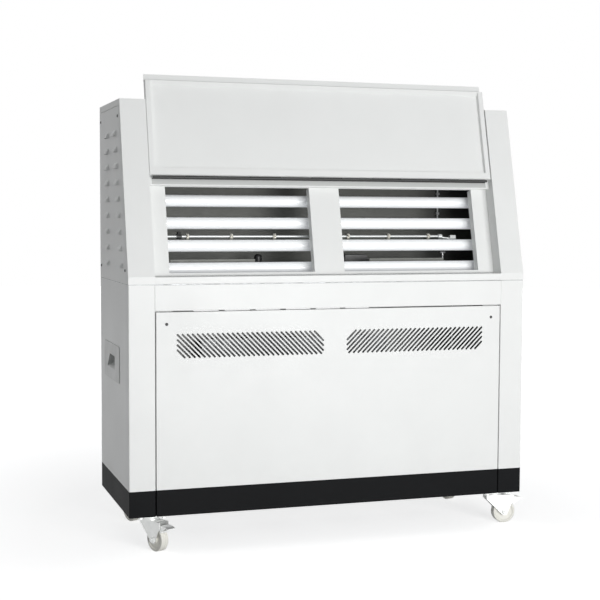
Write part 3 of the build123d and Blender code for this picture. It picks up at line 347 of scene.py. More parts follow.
def zinc_sheet():
    """Zinc-coated sheet with spangle, its colour darkened as painted shade for the unlit inside of the
    cabinet.
    """
    # Painted shade: the dark base colour stands for the shade inside the cabinet, seen through the slots.
    finish = Finish("Spangled zinc sheet", (0.20, 0.205, 0.21), 0.42, 0.85)
    spangle = finish.add("ShaderNodeSeparateColor", {}, [finish.cells(95.0)])
    finish.set("Roughness", spangle * 0.22 + 0.28)
    finish.tone(spangle, 0.78)
    finish.bump(finish.cells(95.0, "Distance"), 0.10, 0.0004)
    return finish.material


def stainless(name, colour, roughness):
    """Brushed stainless sheet, its lines running along X."""
    finish = Finish(name, colour, roughness, 0.95)
    lines = finish.noise(55.0, 5.0, finish.stretched((0.7, 26.0, 26.0)))
    finish.set("Roughness", lines * 0.26 + (roughness - 0.13))
    finish.tone(finish.stepped(lines, 0.25, 0.8), 0.82)
    finish.bump(lines, 0.16, 0.0003)
    return finish.material


zinc_bright = zinc_plate()
zinc_painted_shade = zinc_sheet()
# Painted shade: the chamber's stainless gets a nearly black colour for the dim inside of the chamber.
chamber_steel_painted_shade = stainless("Chamber stainless", (0.10, 0.102, 0.096), 0.52)
pipe_steel = stainless("Pipe stainless", (0.50, 0.51, 0.51), 0.40)
cap_metal = stainless("Lamp cap aluminium", (0.74, 0.74, 0.75), 0.36)
print("metals:", [m.name for m in (zinc_bright, zinc_painted_shade, chamber_steel_painted_shade, pipe_steel, cap_metal)])


# %% [markdown]
# The hinge leaf is a grey darker than the panels, partly as painted shade, and a band of painted shadow makes
# it near black from the knuckles up to the lid, where the gap under the lid lies in shade. The spray pipe is
# dull steel, and the tee at its left end is blackened. The screws are blackened too, so their heads read as
# dark dots on the pale panels.

# %% Hinge, spray pipe and screws
# Heights on the slope above which the hinge is painted near black, as the shadow of the gap under the lid.
GAP_SHADE_LOW = on_slope(0, 0.3085, 0.025).z
GAP_SHADE_HIGH = on_slope(0, 0.3100, 0.025).z
TEE_START = -0.4712
TEE_END = -0.4548
TEE_FADE = 0.0005


def hinge_finish():
    """Satin grey leaf, its grey partly painted shade, darkened at the knuckles by painted shadow of the gap
    under the lid.
    """
    finish = Finish("Satin hinge", (0.50, 0.51, 0.50), 0.46, 0.25)
    wobble = finish.noise(140.0, 4.0)
    # Painted shadow: above this height the leaf turns near black for the shade in the gap under the lid.
    gap_shade = finish.stepped(finish.along("Z") + wobble * 0.0008, GAP_SHADE_LOW, GAP_SHADE_HIGH)
    finish.tone(gap_shade, 0.07)
    finish.set("Roughness", wobble * 0.12 + 0.40)
    return finish.material


def pipe_finish():
    """Dull steel pipe whose tee, at its left end, is blackened."""
    finish = Finish("Spray pipe steel", (0.46, 0.47, 0.47), 0.42, 0.8)
    lines = finish.noise(300.0, 4.0)
    run = finish.along("X")
    before = finish.stepped(run, TEE_END + TEE_FADE, TEE_END)
    finish.tone(before * finish.stepped(run, TEE_START, TEE_START + TEE_FADE), 0.08)
    finish.set("Roughness", lines * 0.2 + 0.32)
    return finish.material


def black_screw():
    """Blackened steel with faint wear."""
    finish = Finish("Blackened screw", (0.035, 0.035, 0.036), 0.40, 0.35)
    finish.set("Roughness", finish.noise(900.0) * 0.2 + 0.30)
    return finish.material


hinge_grey = hinge_finish()
screw_black = black_screw()
spray_steel = pipe_finish()
print("hinge, pipe and screws:", [m.name for m in (hinge_grey, spray_steel, screw_black)])


# %% [markdown]
# ### Lamps
# A fluorescent tube is clear glass with a white powder baked on its inside. The powder gives the colour and
# the glass gives the gloss, so the shader is a pale matte base under a clear coat. Near each end, where the
# cathode sits, the powder has a grey band.

# %% Lamp glass
LAMP_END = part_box("lamp_tubes")[1].x


def lamp_glass():
    """Phosphor under glass, greyer near both ends, with a faint painted glow that brightens the unlit tubes.
    """
    finish = Finish("Lamp glass", (0.90, 0.915, 0.92), 0.32)
    run = finish.along("X")
    grey = finish.stepped(run.maths("ABSOLUTE", run), LAMP_END - 0.045, LAMP_END - 0.008)
    mottle = finish.stepped(finish.noise(48.0, 5.0), 0.3, 0.8) * 0.25
    finish.tone(grey.most(mottle * 0.4), 0.84)
    finish.set("Roughness", mottle * 0.3 + 0.26)
    finish.set("Coat Weight", 0.8)
    finish.set("Coat Roughness", 0.05)
    # Painted light: the tubes are off, and this faint emission lifts them to the brightness of lit white
    # tubes.
    finish.set("Emission Color", (0.93, 0.96, 1.0, 1))
    finish.set("Emission Strength", 0.20)
    return finish.material


lamp_white = lamp_glass()
print("lamp finish:", lamp_white.name)


# %% [markdown]
# ### Moulded plastics, brass and paint on the small parts
# Moulded plastic has a fine spark-eroded grain, and broad patches that are a little duller. The caster
# wheels are hard nylon: cream coloured, with faint specks, and dusty where the tread meets the floor.

# %% Plastics
def plastic(name, colour, roughness, grain=900.0, relief=0.12):
    """Moulded plastic with a fine grain and slight mottling."""
    finish = Finish(name, colour, roughness)
    fine = finish.noise(grain, 2.0)
    broad = finish.stepped(finish.noise(22.0, 4.0), 0.3, 0.8)
    finish.set("Roughness", fine * 0.12 + broad * 0.08 + (roughness - 0.10))
    finish.tone(broad, 0.90)
    finish.bump(fine, relief, 0.0002)
    return finish.material


def nylon():
    """Cream nylon of the wheels, with floor dust low on the tread."""
    finish = Finish("Cream nylon", (0.84, 0.83, 0.77), 0.34)
    speck = finish.stepped(finish.noise(160.0, 6.0), 0.48, 0.75)
    low = finish.stepped(finish.along("Z"), 0.022, 0.0)
    finish.tone(speck * 0.25 + low * 0.45, 0.80)
    finish.set("Roughness", speck * 0.25 + low * 0.2 + 0.28)
    finish.bump(finish.noise(700.0), 0.10, 0.0002)
    return finish.material


wheel_nylon = nylon()
socket_white = plastic("White moulding", (0.80, 0.80, 0.77), 0.38)
grip_grey = plastic("Pale grey moulding", (0.70, 0.71, 0.70), 0.45)
tank_grey = plastic("Smoked tank", (0.24, 0.25, 0.255), 0.42, 300.0)
black_moulding = plastic("Black moulding", (0.020, 0.020, 0.021), 0.42)
stop_red = plastic("Red moulding", (0.56, 0.018, 0.016), 0.28)
stop_yellow = plastic("Yellow moulding", (0.72, 0.50, 0.03), 0.34)
ballast_enamel = plastic("Ballast enamel", (0.16, 0.16, 0.155), 0.40, 500.0)
pump_enamel = plastic("Pump enamel", (0.055, 0.10, 0.17), 0.32, 500.0, 0.25)
print("plastics and enamels ready")


# %% Brass, screen glass and the finish of each node
def brass(name, colour):
    """Turned brass, dulled in patches."""
    finish = Finish(name, colour, 0.32, 0.95)
    patch = finish.stepped(finish.noise(120.0, 5.0), 0.3, 0.75)
    finish.set("Roughness", patch * 0.24 + 0.20)
    finish.tone(patch, 0.72)
    return finish.material


def screen_glass():
    """Dark glass of the touch screen, with faint wiping marks."""
    finish = Finish("Screen glass", (0.012, 0.014, 0.017), 0.08)
    wipes = finish.stepped(finish.noise(14.0, 6.0, finish.stretched((1.0, 1.0, 4.0))), 0.4, 0.8)
    finish.set("Roughness", wipes * 0.16 + 0.06)
    finish.set("Coat Weight", 1.0)
    finish.set("Coat Roughness", 0.03)
    return finish.material


nozzle_brass = brass("Nickel-toned brass", (0.62, 0.60, 0.54))
stub_brass = brass("Yellow brass", (0.70, 0.52, 0.24))
dark_screen = screen_glass()
finish_of_slot = {
    "white_paint": white_paint, "black_paint": black_paint, "zinc_sheet": zinc_painted_shade,
    "zinc_plate": zinc_bright, "stainless": chamber_steel_painted_shade, "lamp_glass": lamp_white,
    "cap_metal": cap_metal, "white_plastic": socket_white,
    "grey_plastic": grip_grey, "tank_plastic": tank_grey, "black_plastic": black_moulding,
    "nozzle_brass": nozzle_brass, "stub_brass": stub_brass, "ballast_paint": ballast_enamel,
    "pump_paint": pump_enamel, "yellow_plastic": stop_yellow, "red_plastic": stop_red,
}
special_finish = {
    "touch_screen": dark_screen, "spray_pipe": spray_steel, "hinge_pin": pipe_steel, "hinge_leaf": hinge_grey,
    "wheel": wheel_nylon, "overflow_pipe": pipe_steel, "temperature_probe": pipe_steel,
}


def finish_of(node):
    """The finish of the node's slot, unless its name starts with that of a piece with its own finish."""
    own = [finish for start, finish in special_finish.items() if node.startswith(start)]
    return own[0] if own else finish_of_slot[slot_of_node[node]]


print(len(finish_of_slot), "slots have a finish, and", len(special_finish), "kinds of piece have their own")

# %% [markdown]
# ## Rounded edges on the folded sheet
# No folded sheet has a sharp edge: the bend has a radius and the paint builds up on the cut. A CAD mesh has
# loose triangles and sharp corners, so light never catches its edges. Each folded piece is therefore
# copied, its triangles are merged, its edges are rounded by a Bevel modifier, and the copy stands for the
# CAD node. The shape and the place stay exactly as they were.

# %% Helpers for pieces
def linked(name, mesh):
    """New object at the origin for the mesh."""
    piece = bpy.data.objects.new(name, mesh)
    bpy.context.scene.collection.objects.link(piece)
    return piece


def baked(piece):
    """Turns the evaluated piece, with its modifiers, into a plain mesh."""
    graph = bpy.context.evaluated_depsgraph_get()
    graph.update()
    finished = bpy.data.meshes.new_from_object(piece.evaluated_get(graph))
    piece.modifiers.clear()
    piece.data = finished
    return piece


def shaded(piece, angle=35.0):
    """Smooth shading that breaks at edges sharper than the angle."""
    piece.data.shade_smooth()
    piece.data.set_sharp_from_angle(angle=radians(angle))
    return piece


def mesh_from(form, name):
    """Ends a bmesh and gives back its mesh."""
    mesh = bpy.data.meshes.new(name)
    form.to_mesh(mesh)
    form.free()
    return mesh


def merged(node):
    """Mesh of a CAD node with its triangles joined into one surface."""
    form = bmesh.new()
    form.from_mesh(nodes[node].data)
    bmesh.ops.remove_doubles(form, verts=form.verts, dist=2e-6)
    bmesh.ops.dissolve_limit(form, angle_limit=radians(0.6), verts=form.verts, edges=form.edges)
    return mesh_from(form, node + "_form")


def rounded(piece, width, segments=2, angle=40.0):
    """Rounds the sharp edges of a piece and evens out the shading of its faces."""
    bevel = piece.modifiers.new("Rounded edges", "BEVEL")
    bevel.width = width
    bevel.segments = segments
    bevel.limit_method = "ANGLE"
    bevel.angle_limit = radians(angle)
    weights = piece.modifiers.new("Face weights", "WEIGHTED_NORMAL")
    weights.keep_sharp = True
    shaded(piece)
    return baked(piece)


def stand_in(piece, material, slot, *members):
    """Gives the piece its finish and lets it stand for the CAD nodes, on their body."""
    piece.data.materials.clear()
    piece.data.materials.append(material)
    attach(piece, body_of_node[members[0]])
    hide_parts(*members)
    return piece


# %% Round the folded pieces
def round_nodes(groups):
    """Rounds the edges of CAD nodes, which are grouped by width, and gives back how many they are."""
    widths = [(node, width) for width, members in groups for node in members.split()]
    for node, width in widths:
        piece = rounded(linked(node + "_finished", merged(node)), width)
        stand_in(piece, finish_of(node), slot_of_node[node], node)
    return len(widths)


SOFT_EDGES = (
    (0.0005, "front_post_left front_post_right front_rail column_left column_right front_sill window_frame "
             "upper_front_panel top_cover side_panel_left side_panel_right kick_surround kick_front"),
    (0.0004, "lid_skin lid_liner"), (0.0008, "control_panel"), (0.0003, "rear_panel_upper"),
    (0.0012, "grip_cups"),
)
print(round_nodes(SOFT_EDGES), "folded pieces rounded")

# %% Round the small hardware
HARDWARE_EDGES = (
    (0.0006, "fork_front_left fork_front_right fork_rear_left fork_rear_right"),
    (0.0005, "pedal_front_left pedal_front_right caster_plates"),
    (0.0008, "wheel_front_left wheel_front_right wheel_rear_left wheel_rear_right"),
    (0.0006, "cable_gland"), (0.0005, "water_stubs"), (0.0006, "touch_screen switch_bezel"),
    (0.0007, "rocker"), (0.0006, "stop_collar stop_button"), (0.002, "water_tank"), (0.0012, "pump"),
    (0.001, "ballasts"), (0.0003, "water_pan"), (0.0006, "heater"), (0.0008, "lamp_sockets"),
    (0.0004, "spray_pipe"), (0.0002, "hinge_pin"), (0.0008, "level_float"), (0.0010, "junction_box"),
    (0.0004, "overflow_pipe"), (0.0005, "temperature_probe"),
)
print(round_nodes(HARDWARE_EDGES), "small pieces rounded")

# %% [markdown]
# ## Geometry Nodes for what repeats
# Slots, hoods, lamps, nozzles and screws repeat by a rule, so the rule is written once as a node tree with
# named sizes. The helper below makes the tree, and one function for each tree draws its inside. A modifier
# then takes the sizes, and the result becomes a plain mesh, because instances are lost when the model is
# exported.

# %% A Geometry Nodes tree with named sizes
class Rule(Net):
    """A Geometry Nodes tree. Its sizes, and the pieces that it repeats, are inputs with names."""

    KINDS = {float: "NodeSocketFloat", int: "NodeSocketInt"}

    def __init__(self, name, values, draw):
        super().__init__(bpy.data.node_groups.new(name, "GeometryNodeTree"))
        self.values = values
        self.socket("Start", "NodeSocketGeometry")
        self.socket("Result", "NodeSocketGeometry", "OUTPUT")
        self.identifiers = {label: self.socket(label, self.KINDS.get(type(value), "NodeSocketObject"))
                            for label, value in values.items()}
        self.finish_id = self.socket("Finish", "NodeSocketMaterial")
        self.inputs = self.tree.nodes.new("NodeGroupInput")
        self.close(draw(self))

    def socket(self, name, kind, way="INPUT"):
        """Adds a socket to the tree's own inputs or outputs, and gives back its identifier."""
        return self.tree.interface.new_socket(name=name, in_out=way, socket_type=kind).identifier

    def __getitem__(self, label):
        """The wire of a named input."""
        return Wire(self, self.inputs.outputs[label])

    def shape(self, label):
        """The mesh of an object that is a named input."""
        space = {"transform_space": "ORIGINAL"}
        return self.add("GeometryNodeObjectInfo", space, {"Object": self[label]}, "Geometry")

    def together(self, *parts):
        """Several shapes as one."""
        return self.add("GeometryNodeJoinGeometry", {}, {"Geometry": list(parts)})

    def placed(self, shape, to=None, by=None):
        """The shape with its points at new places, or moved by an offset."""
        return self.add("GeometryNodeSetPosition", {}, {"Geometry": shape, "Position": to, "Offset": by})

    def shifted(self, shape, **parts):
        """The whole shape moved by x, y and z."""
        return self.add("GeometryNodeTransform", {}, {"Geometry": shape, "Translation": self.vector(**parts)})

    def copies(self, points, shape, turn=None):
        """The shape set on every point."""
        return self.add("GeometryNodeInstanceOnPoints", {},
                        {"Points": points, "Instance": shape, "Rotation": turn})

    def real(self, copies):
        """Copies turned into geometry of their own."""
        return self.add("GeometryNodeRealizeInstances", {}, [copies])

    def close(self, result):
        """Ends the tree: copies become real and take the finish."""
        coating = {"Geometry": self.real(result), "Material": self["Finish"]}
        end = self.tree.nodes.new("NodeGroupOutput")
        self.join(end.inputs["Result"], self.add("GeometryNodeSetMaterial", {}, coating))

    def make(self, name, material, start=None):
        """Runs the tree on the start mesh and returns the result as a plain piece."""
        piece = linked(name, start or bpy.data.meshes.new(name))
        modifier = piece.modifiers.new("Rule", "NODES")
        modifier.node_group = self.tree
        for label, value in self.values.items():
            modifier[self.identifiers[label]] = value
        modifier[self.finish_id] = material
        piece.update_tag()
        return baked(piece)


def moved(piece, matrix):
    """Puts the place of the piece into its mesh."""
    piece.data.transform(matrix)
    if matrix.determinant() < 0:
        piece.data.flip_normals()
    return piece


print("rule helper ready")

# %% [markdown]
# ### Sheet with holes
# The service panel, the louvred covers and the rear panel are all flat sheets with a pattern of holes. Fill
# Curve turns an outline with closed curves inside it into a sheet with holes, and extruding that sheet
# gives it its thickness. The outline and the holes are drawn flat, in X and Y, and the sheet's front faces
# up.

# %% Flat sheet from curves
SEAM = 1e-6


def circle(rule, radius, steps):
    """Closed circle round the origin."""
    return rule.add("GeometryNodeCurvePrimitiveCircle", {"mode": "RADIUS"},
                    {"Resolution": steps, "Radius": radius})


def rectangle(rule, width, low, high):
    """Closed rectangle centred on X, from low to high in Y."""
    shape = rule.add("GeometryNodeCurvePrimitiveQuadrilateral", {}, {"Width": width, "Height": high - low})
    return rule.shifted(shape, y=(high + low) * 0.5)


def thick_sheet(rule, *curves):
    """Fills closed curves, extrudes the face down by the thickness and closes it underneath."""
    thickness = rule["Thickness"]
    face = rule.add("GeometryNodeFillCurve", {}, {"Curve": rule.together(*curves)})
    lowered = rule.shifted(face, z=thickness * -1.0)
    walls = rule.add("GeometryNodeExtrudeMesh", {},
                     {"Mesh": lowered, "Offset Scale": thickness, "Individual": False})
    whole = rule.together(walls, rule.add("GeometryNodeFlipFaces", {}, {"Mesh": lowered}))
    return rule.add("GeometryNodeMergeByDistance", {}, {"Geometry": whole, "Distance": SEAM})


print("sheet helpers ready")

# %% [markdown]
# ### The slotted service panel
# Each half of the panel has a box-shaped field of slots at 45 degrees, and each slot ends where the field
# ends, so the slots in the corners are shorter. One slot is a circle whose two halves are pulled apart:
# first the circle is placed on the middle of the slot, then each of its points moves along the slot by half
# the slot's straight run, to the side on which the point lies.

# %% Rule for a field of clipped slots
SLOT_PITCH = 0.0155
SLOT_WIDTH = 0.0064
SLOT_SHIFT = -0.0048
FIELD_WIDTH = 0.466
FIELD_HEIGHT = 0.073
FIELD_OFFSET = 0.271
FIELD_LOW = BASE + 0.4775
SHORTEST_SLOT = 2 * SLOT_PITCH
PANEL_SCREW_OUT = 0.535
PANEL_SCREW_UP = BASE + 0.5805
SCREW_HOLE = 0.0026
SHEET = 0.0015


def slot_middles(rule, hand):
    """Points at the middle of each slot, with half the slot's run stored on them. Hand is 1 or -1."""
    labels = ("Field width", "Field height", "Pitch", "Shift")
    width, height, pitch, shift = [rule[label] for label in labels]
    line = rule.add("GeometryNodeMeshLine", {}, {"Count": (width + height - shift) / pitch + 1.0})
    start = rule.add("GeometryNodeInputIndex") * pitch - height + shift
    first = (start * -1.0).most(0.0)
    last = (width - start).least(height)
    run = (last - first) * sqrt(2)
    middle = (first + last) * 0.5
    across = (start + middle - width * 0.5) * hand + rule["Field offset"] * (-hand)
    place = rule.vector(x=across, y=height - middle)
    points = rule.placed(line, to=place)
    for kind, name, value in (("FLOAT", "half_run", (run - rule["Slot width"]) * 0.5),
                              ("FLOAT_VECTOR", "middle", place)):
        points = rule.add("GeometryNodeStoreNamedAttribute", {"data_type": kind, "domain": "POINT"},
                          {"Geometry": points, "Name": name, "Value": value})
    short = (run * -1.0).above(rule["Shortest slot"] * -1.0)
    return rule.add("GeometryNodeDeleteGeometry", {"domain": "POINT"},
                    {"Geometry": points, "Selection": short})


def slot_outlines(rule, hand):
    """Closed slot outlines of one field, falling to the right when hand is 1."""
    rounds = rule.real(rule.copies(slot_middles(rule, hand), circle(rule, rule["Slot width"] * 0.5, 16)))
    half_run = rule.add("GeometryNodeInputNamedAttribute", {"data_type": "FLOAT"}, {"Name": "half_run"})
    middle = rule.add("GeometryNodeInputNamedAttribute", {"data_type": "FLOAT_VECTOR"}, {"Name": "middle"})
    here = rule.add("GeometryNodeInputPosition")
    local = rule.add("ShaderNodeVectorMath", {"operation": "SUBTRACT"}, [here, middle])
    slant = (hand / sqrt(2), -1 / sqrt(2), 0)
    side = rule.add("ShaderNodeVectorMath", {"operation": "DOT_PRODUCT"}, [local, slant], "Value")
    pull = side.maths("SIGN", side) * half_run
    offset = rule.add("ShaderNodeVectorMath", {"operation": "SCALE"}, {"Vector": slant, "Scale": pull})
    return rule.placed(rounds, by=offset)


# %% Make the face of the service panel
def slotted_panel(rule):
    """Sheet with two mirrored fields of slots, and a hole for each screw."""
    outline = rectangle(rule, rule["Panel width"], rule["Panel low"], rule["Panel high"])
    fields = [slot_outlines(rule, hand) for hand in (1, -1)]
    hole = circle(rule, rule["Screw hole"], 20)
    out, height = rule["Screw offset"], rule["Screw height"]
    holes = [rule.shifted(hole, x=out * side, y=height) for side in (-1.0, 1.0)]
    return thick_sheet(rule, outline, *fields, *holes)


panel_low, panel_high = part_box("front_panel")
panel_rule = Rule("Slotted panel", {
    "Panel width": panel_high.x - panel_low.x, "Panel low": panel_low.z - FIELD_LOW,
    "Panel high": panel_high.z - FIELD_LOW, "Field width": FIELD_WIDTH, "Field height": FIELD_HEIGHT,
    "Field offset": FIELD_OFFSET, "Pitch": SLOT_PITCH, "Slot width": SLOT_WIDTH, "Shift": SLOT_SHIFT,
    "Shortest slot": SHORTEST_SLOT, "Screw offset": PANEL_SCREW_OUT,
    "Screw height": PANEL_SCREW_UP - FIELD_LOW, "Screw hole": SCREW_HOLE, "Thickness": SHEET,
}, slotted_panel)
to_front = Matrix.Translation((0, FRONT, FIELD_LOW)) @ Matrix.Rotation(pi / 2, 4, "X")
panel_face = moved(panel_rule.make("service_panel", white_paint), to_front)
print("service panel face:", len(panel_face.data.polygons), "faces")

# %% [markdown]
# The face is only the front of a shallow pan. Its four edges fold back 18 mm, which stiffens the panel and
# gives it the dark seam all round. A short helper makes such walls as closed boxes, and Join puts them with
# the face.

# %% Fold back the edges of the service panel
def boxes(name, pairs):
    """Piece made of closed boxes, each given by its lowest and highest corner."""
    form = bmesh.new()
    for low, high in pairs:
        size = Vector(high) - Vector(low)
        middle = (Vector(high) + Vector(low)) / 2
        place = Matrix.Translation(middle) @ Matrix.Diagonal((*size, 1))
        bmesh.ops.create_cube(form, size=1.0, matrix=place)
    return linked(name, mesh_from(form, name))


def joined(piece, *others):
    """One mesh of several pieces."""
    form = bmesh.new()
    for part in (piece, *others):
        form.from_mesh(part.data)
    form.to_mesh(piece.data)
    form.free()
    for part in others:
        bpy.data.objects.remove(part)
    return piece


def pan_walls(name, low, high):
    """The four folded walls of a pan behind its face."""
    front = low.y + SHEET
    return boxes(name, [
        ((low.x, front, low.z), (low.x + SHEET, high.y, high.z)),
        ((high.x - SHEET, front, low.z), (high.x, high.y, high.z)),
        ((low.x + SHEET, front, low.z), (high.x - SHEET, high.y, low.z + SHEET)),
        ((low.x + SHEET, front, high.z - SHEET), (high.x - SHEET, high.y, high.z)),
    ])


service_panel = joined(panel_face, pan_walls("service_walls", panel_low, panel_high))
service_panel = rounded(service_panel, 0.0004)
stand_in(service_panel, white_paint, "white_paint", "front_panel")
print("service panel:", len(service_panel.data.polygons), "faces")

# %% [markdown]
# ### Louvred covers
# A louvre is sheet cut along one line and pushed out beside it, so air leaves downward and drips stay out.
# One hood is a small grid lifted by a formula: full height at the mouth, falling in a curve to the sheet
# above, and rounded down at both ends. Solidify gives it the thickness of the sheet.

# %% One pressed hood
HOOD_LENGTH = 0.056
HOOD_OUT = 0.008
HOOD_RISE = 0.0142
HOOD_MOUTH = 0.003
HOOD_ROUND = 0.005
HOOD_CURVE = 1.35
HOOD_SHEET = 0.0011
HOOD_STEPS = 28
HOOD_ROWS = 8


def hood_height(along, rise):
    """How far the hood stands out at a place: along its length, and above its mouth."""
    past = max(0.0, abs(along) - (HOOD_LENGTH / 2 - HOOD_ROUND)) / HOOD_ROUND
    end = sqrt(max(0.0, 1 - past * past))
    share = max(0.0, rise - HOOD_MOUTH) / HOOD_RISE
    return HOOD_OUT * end * (1 - min(1.0, share) ** HOOD_CURVE)


def hood():
    """One hood as a closed thin shell, its mouth toward -Y and its front toward +Z."""
    form = bmesh.new()
    rows = []
    for row in range(HOOD_ROWS + 1):
        rise = (HOOD_RISE + HOOD_MOUTH) * row / HOOD_ROWS
        places = [HOOD_LENGTH * (cos(pi * step / HOOD_STEPS)) / -2 for step in range(HOOD_STEPS + 1)]
        rows.append([form.verts.new((x, rise - HOOD_MOUTH, hood_height(x, rise))) for x in places])
    for low, high in zip(rows, rows[1:]):
        for step in range(HOOD_STEPS):
            form.faces.new((low[step], low[step + 1], high[step + 1], high[step]))
    piece = linked("hood", mesh_from(form, "hood"))
    wall = piece.modifiers.new("Thickness", "SOLIDIFY")
    wall.thickness = HOOD_SHEET
    wall.offset = -1
    return shaded(baked(piece), 50)


hood_piece = hood()
print("one hood:", len(hood_piece.data.polygons), "faces")

# %% [markdown]
# The hoods stand in two upright rows. The rear row is plumb, and the front row leans with the front edge,
# which is one product of the height and the slope. The sheet under each hood has a hole, so the mouths look
# dark.

# %% Rule for a louvred cover
cover_low, cover_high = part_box("side_cover_left")
COVER_INSET = cover_low.y - FRONT
HOOD_FIRST = BASE + 0.7485
HOOD_PITCH = 0.0505
HOOD_FRONT = 0.113
HOOD_REAR = 0.358
LEFT_HOODS = 9
RIGHT_HOODS = 3
HOLE_LENGTH = HOOD_LENGTH - 0.006
HOLE_HEIGHT = 0.010
COVER_FOLD = 0.020


def outline_mesh(name, points):
    """Closed loop of edges through flat points."""
    mesh = bpy.data.meshes.new(name)
    count = len(points)
    mesh.from_pydata([(x, y, 0) for x, y in points], [(i, (i + 1) % count) for i in range(count)], [])
    return mesh


def hood_points(rule, lean, offset):
    """A column of points, one for each hood."""
    line = rule.add("GeometryNodeMeshLine", {}, {"Count": rule["Hoods"]})
    height = rule.add("GeometryNodeInputIndex") * rule["Pitch"] + rule["First"]
    return rule.placed(line, to=rule.vector(x=height * lean + offset, y=height))


def louvred_cover(rule):
    """The start outline as a sheet, with a hood over a hole at each spot."""
    edge = rule.add("GeometryNodeMeshToCurve", {}, {"Mesh": rule["Start"]})
    columns = ((rule["Lean"], rule["Front"]), (0.0, rule["Rear"]))
    spots = rule.together(*[hood_points(rule, lean, offset) for lean, offset in columns])
    hole = rectangle(rule, rule["Hole length"], 0.0, rule["Hole height"])
    sheet = thick_sheet(rule, edge, rule.real(rule.copies(spots, hole)))
    return rule.together(sheet, rule.copies(spots, rule.shape("Hood")))


cover_rule = Rule("Louvred cover", {
    "Hoods": LEFT_HOODS, "First": HOOD_FIRST - KINK, "Pitch": HOOD_PITCH, "Lean": LEAN, "Front": HOOD_FRONT,
    "Rear": HOOD_REAR, "Hole length": HOLE_LENGTH, "Hole height": HOLE_HEIGHT, "Thickness": SHEET,
    "Hood": hood_piece,
}, louvred_cover)
print("louvre rule ready")

# %% Make both side covers
def cover_outline():
    """Outline of the cover: along the cabinet's depth from the front, and up from the start of the slope."""
    low, high = cover_low.z - KINK, cover_high.z - KINK
    return [(COVER_INSET, low), (BACK - FRONT, low), (BACK - FRONT, high),
            (high * LEAN + COVER_INSET / cos(SLOPE), high), (COVER_INSET, 0.0)]


def side_cover(side, rows):
    """A louvred cover with its rear fold; side is -1 on the left and 1 on the right."""
    name = "side_cover_left" if side < 0 else "side_cover_right"
    cover_rule.values["Hoods"] = rows
    piece = cover_rule.make(name + "_finished", white_paint, outline_mesh(name, cover_outline()))
    to_side = Matrix(((0, 0, side, side * HALF), (1, 0, 0, FRONT), (0, 1, 0, KINK), (0, 0, 0, 1)))
    moved(piece, to_side)
    low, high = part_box(name)
    inner = (side * (HALF - SHEET), BACK - SHEET, cover_low.z)
    outer = (side * (HALF - COVER_FOLD), BACK, cover_high.z)
    corners = [Vector(map(min, inner, outer)), Vector(map(max, inner, outer))]
    piece = joined(piece, boxes("fold", [corners]))
    shaded(piece, 50)
    return stand_in(piece, white_paint, "white_paint", name)


covers = [side_cover(-1, LEFT_HOODS), side_cover(1, RIGHT_HOODS)]
bpy.data.objects.remove(hood_piece)
print("covers:", [len(cover.data.polygons) for cover in covers], "faces")

# %% [markdown]
# ### Rear panel
# The lower rear panel has a block of level slots for the fan, a grid of the same stadium shape. The two
# water stubs and the cable gland pass through round holes.

# %% Make the rear panel
REAR_SLOT = 0.090
REAR_SLOT_WIDTH = 0.005
REAR_COLUMNS = 6
REAR_COLUMN_PITCH = 0.110
REAR_ROWS = 8
REAR_ROW_PITCH = 0.014
REAR_TOP_ROW = -0.090
REAR_MIDDLE = 0.015
REAR_HOLES = ((-0.420, 0.190), (-0.480, 0.120), (0.420, 0.160))
REAR_HOLE_RADIUS = 0.0105


def slot_grid(rule):
    """Closed outlines of a grid of level slots."""
    columns = rule["Columns"]
    number = rule.add("GeometryNodeInputIndex")
    row = number.maths("FLOOR", number / columns)
    column = number - row * columns
    line = rule.add("GeometryNodeMeshLine", {}, {"Count": columns * rule["Rows"]})
    across = (column - (columns - 1.0) * 0.5) * rule["Column pitch"] + rule["Middle"]
    height = rule["Top row"] - row * rule["Row pitch"]
    points = rule.placed(line, to=rule.vector(x=across, y=height))
    x = rule.add("ShaderNodeSeparateXYZ", {}, [rule.add("GeometryNodeInputPosition")], "X")
    reach = (rule["Slot length"] - rule["Slot width"]) * 0.5
    pull = rule.vector(x=x.maths("SIGN", x + SEAM) * reach)
    stadium = rule.placed(circle(rule, rule["Slot width"] * 0.5, 12), by=pull)
    return rule.real(rule.copies(points, stadium))


def vented_panel(rule):
    """Sheet with a grid of slots, and holes for the two water stubs and the cable gland."""
    outline = rectangle(rule, rule["Width"], rule["Low"], rule["High"])
    hole = circle(rule, REAR_HOLE_RADIUS, 20)
    holes = [rule.shifted(hole, x=x, y=BASE + up - JOINT) for x, up in REAR_HOLES]
    return thick_sheet(rule, outline, slot_grid(rule), *holes)


rear_low, rear_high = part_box("rear_panel_lower")
rear_rule = Rule("Vented rear panel", {
    "Width": rear_high.x - rear_low.x, "Low": rear_low.z - JOINT, "High": rear_high.z - JOINT,
    "Slot length": REAR_SLOT, "Slot width": REAR_SLOT_WIDTH, "Columns": REAR_COLUMNS,
    "Column pitch": REAR_COLUMN_PITCH, "Rows": REAR_ROWS, "Row pitch": REAR_ROW_PITCH,
    "Top row": REAR_TOP_ROW, "Middle": REAR_MIDDLE, "Thickness": SHEET,
}, vented_panel)
to_rear = Matrix.Translation((0, BACK, JOINT)) @ Matrix.Rotation(pi, 4, "Z") @ Matrix.Rotation(pi / 2, 4, "X")
rear_panel = shaded(moved(rear_rule.make("rear_panel_finished", white_paint), to_rear))
stand_in(rear_panel, white_paint, "white_paint", "rear_panel_lower")
print("rear panel:", len(rear_panel.data.polygons), "faces")

# %% [markdown]
# ### Turned shapes
# Lamps, nozzles and screw heads are round about a line. A list of places along the line with a radius for
# each is their whole shape. The helper turns such a profile and closes both ends.

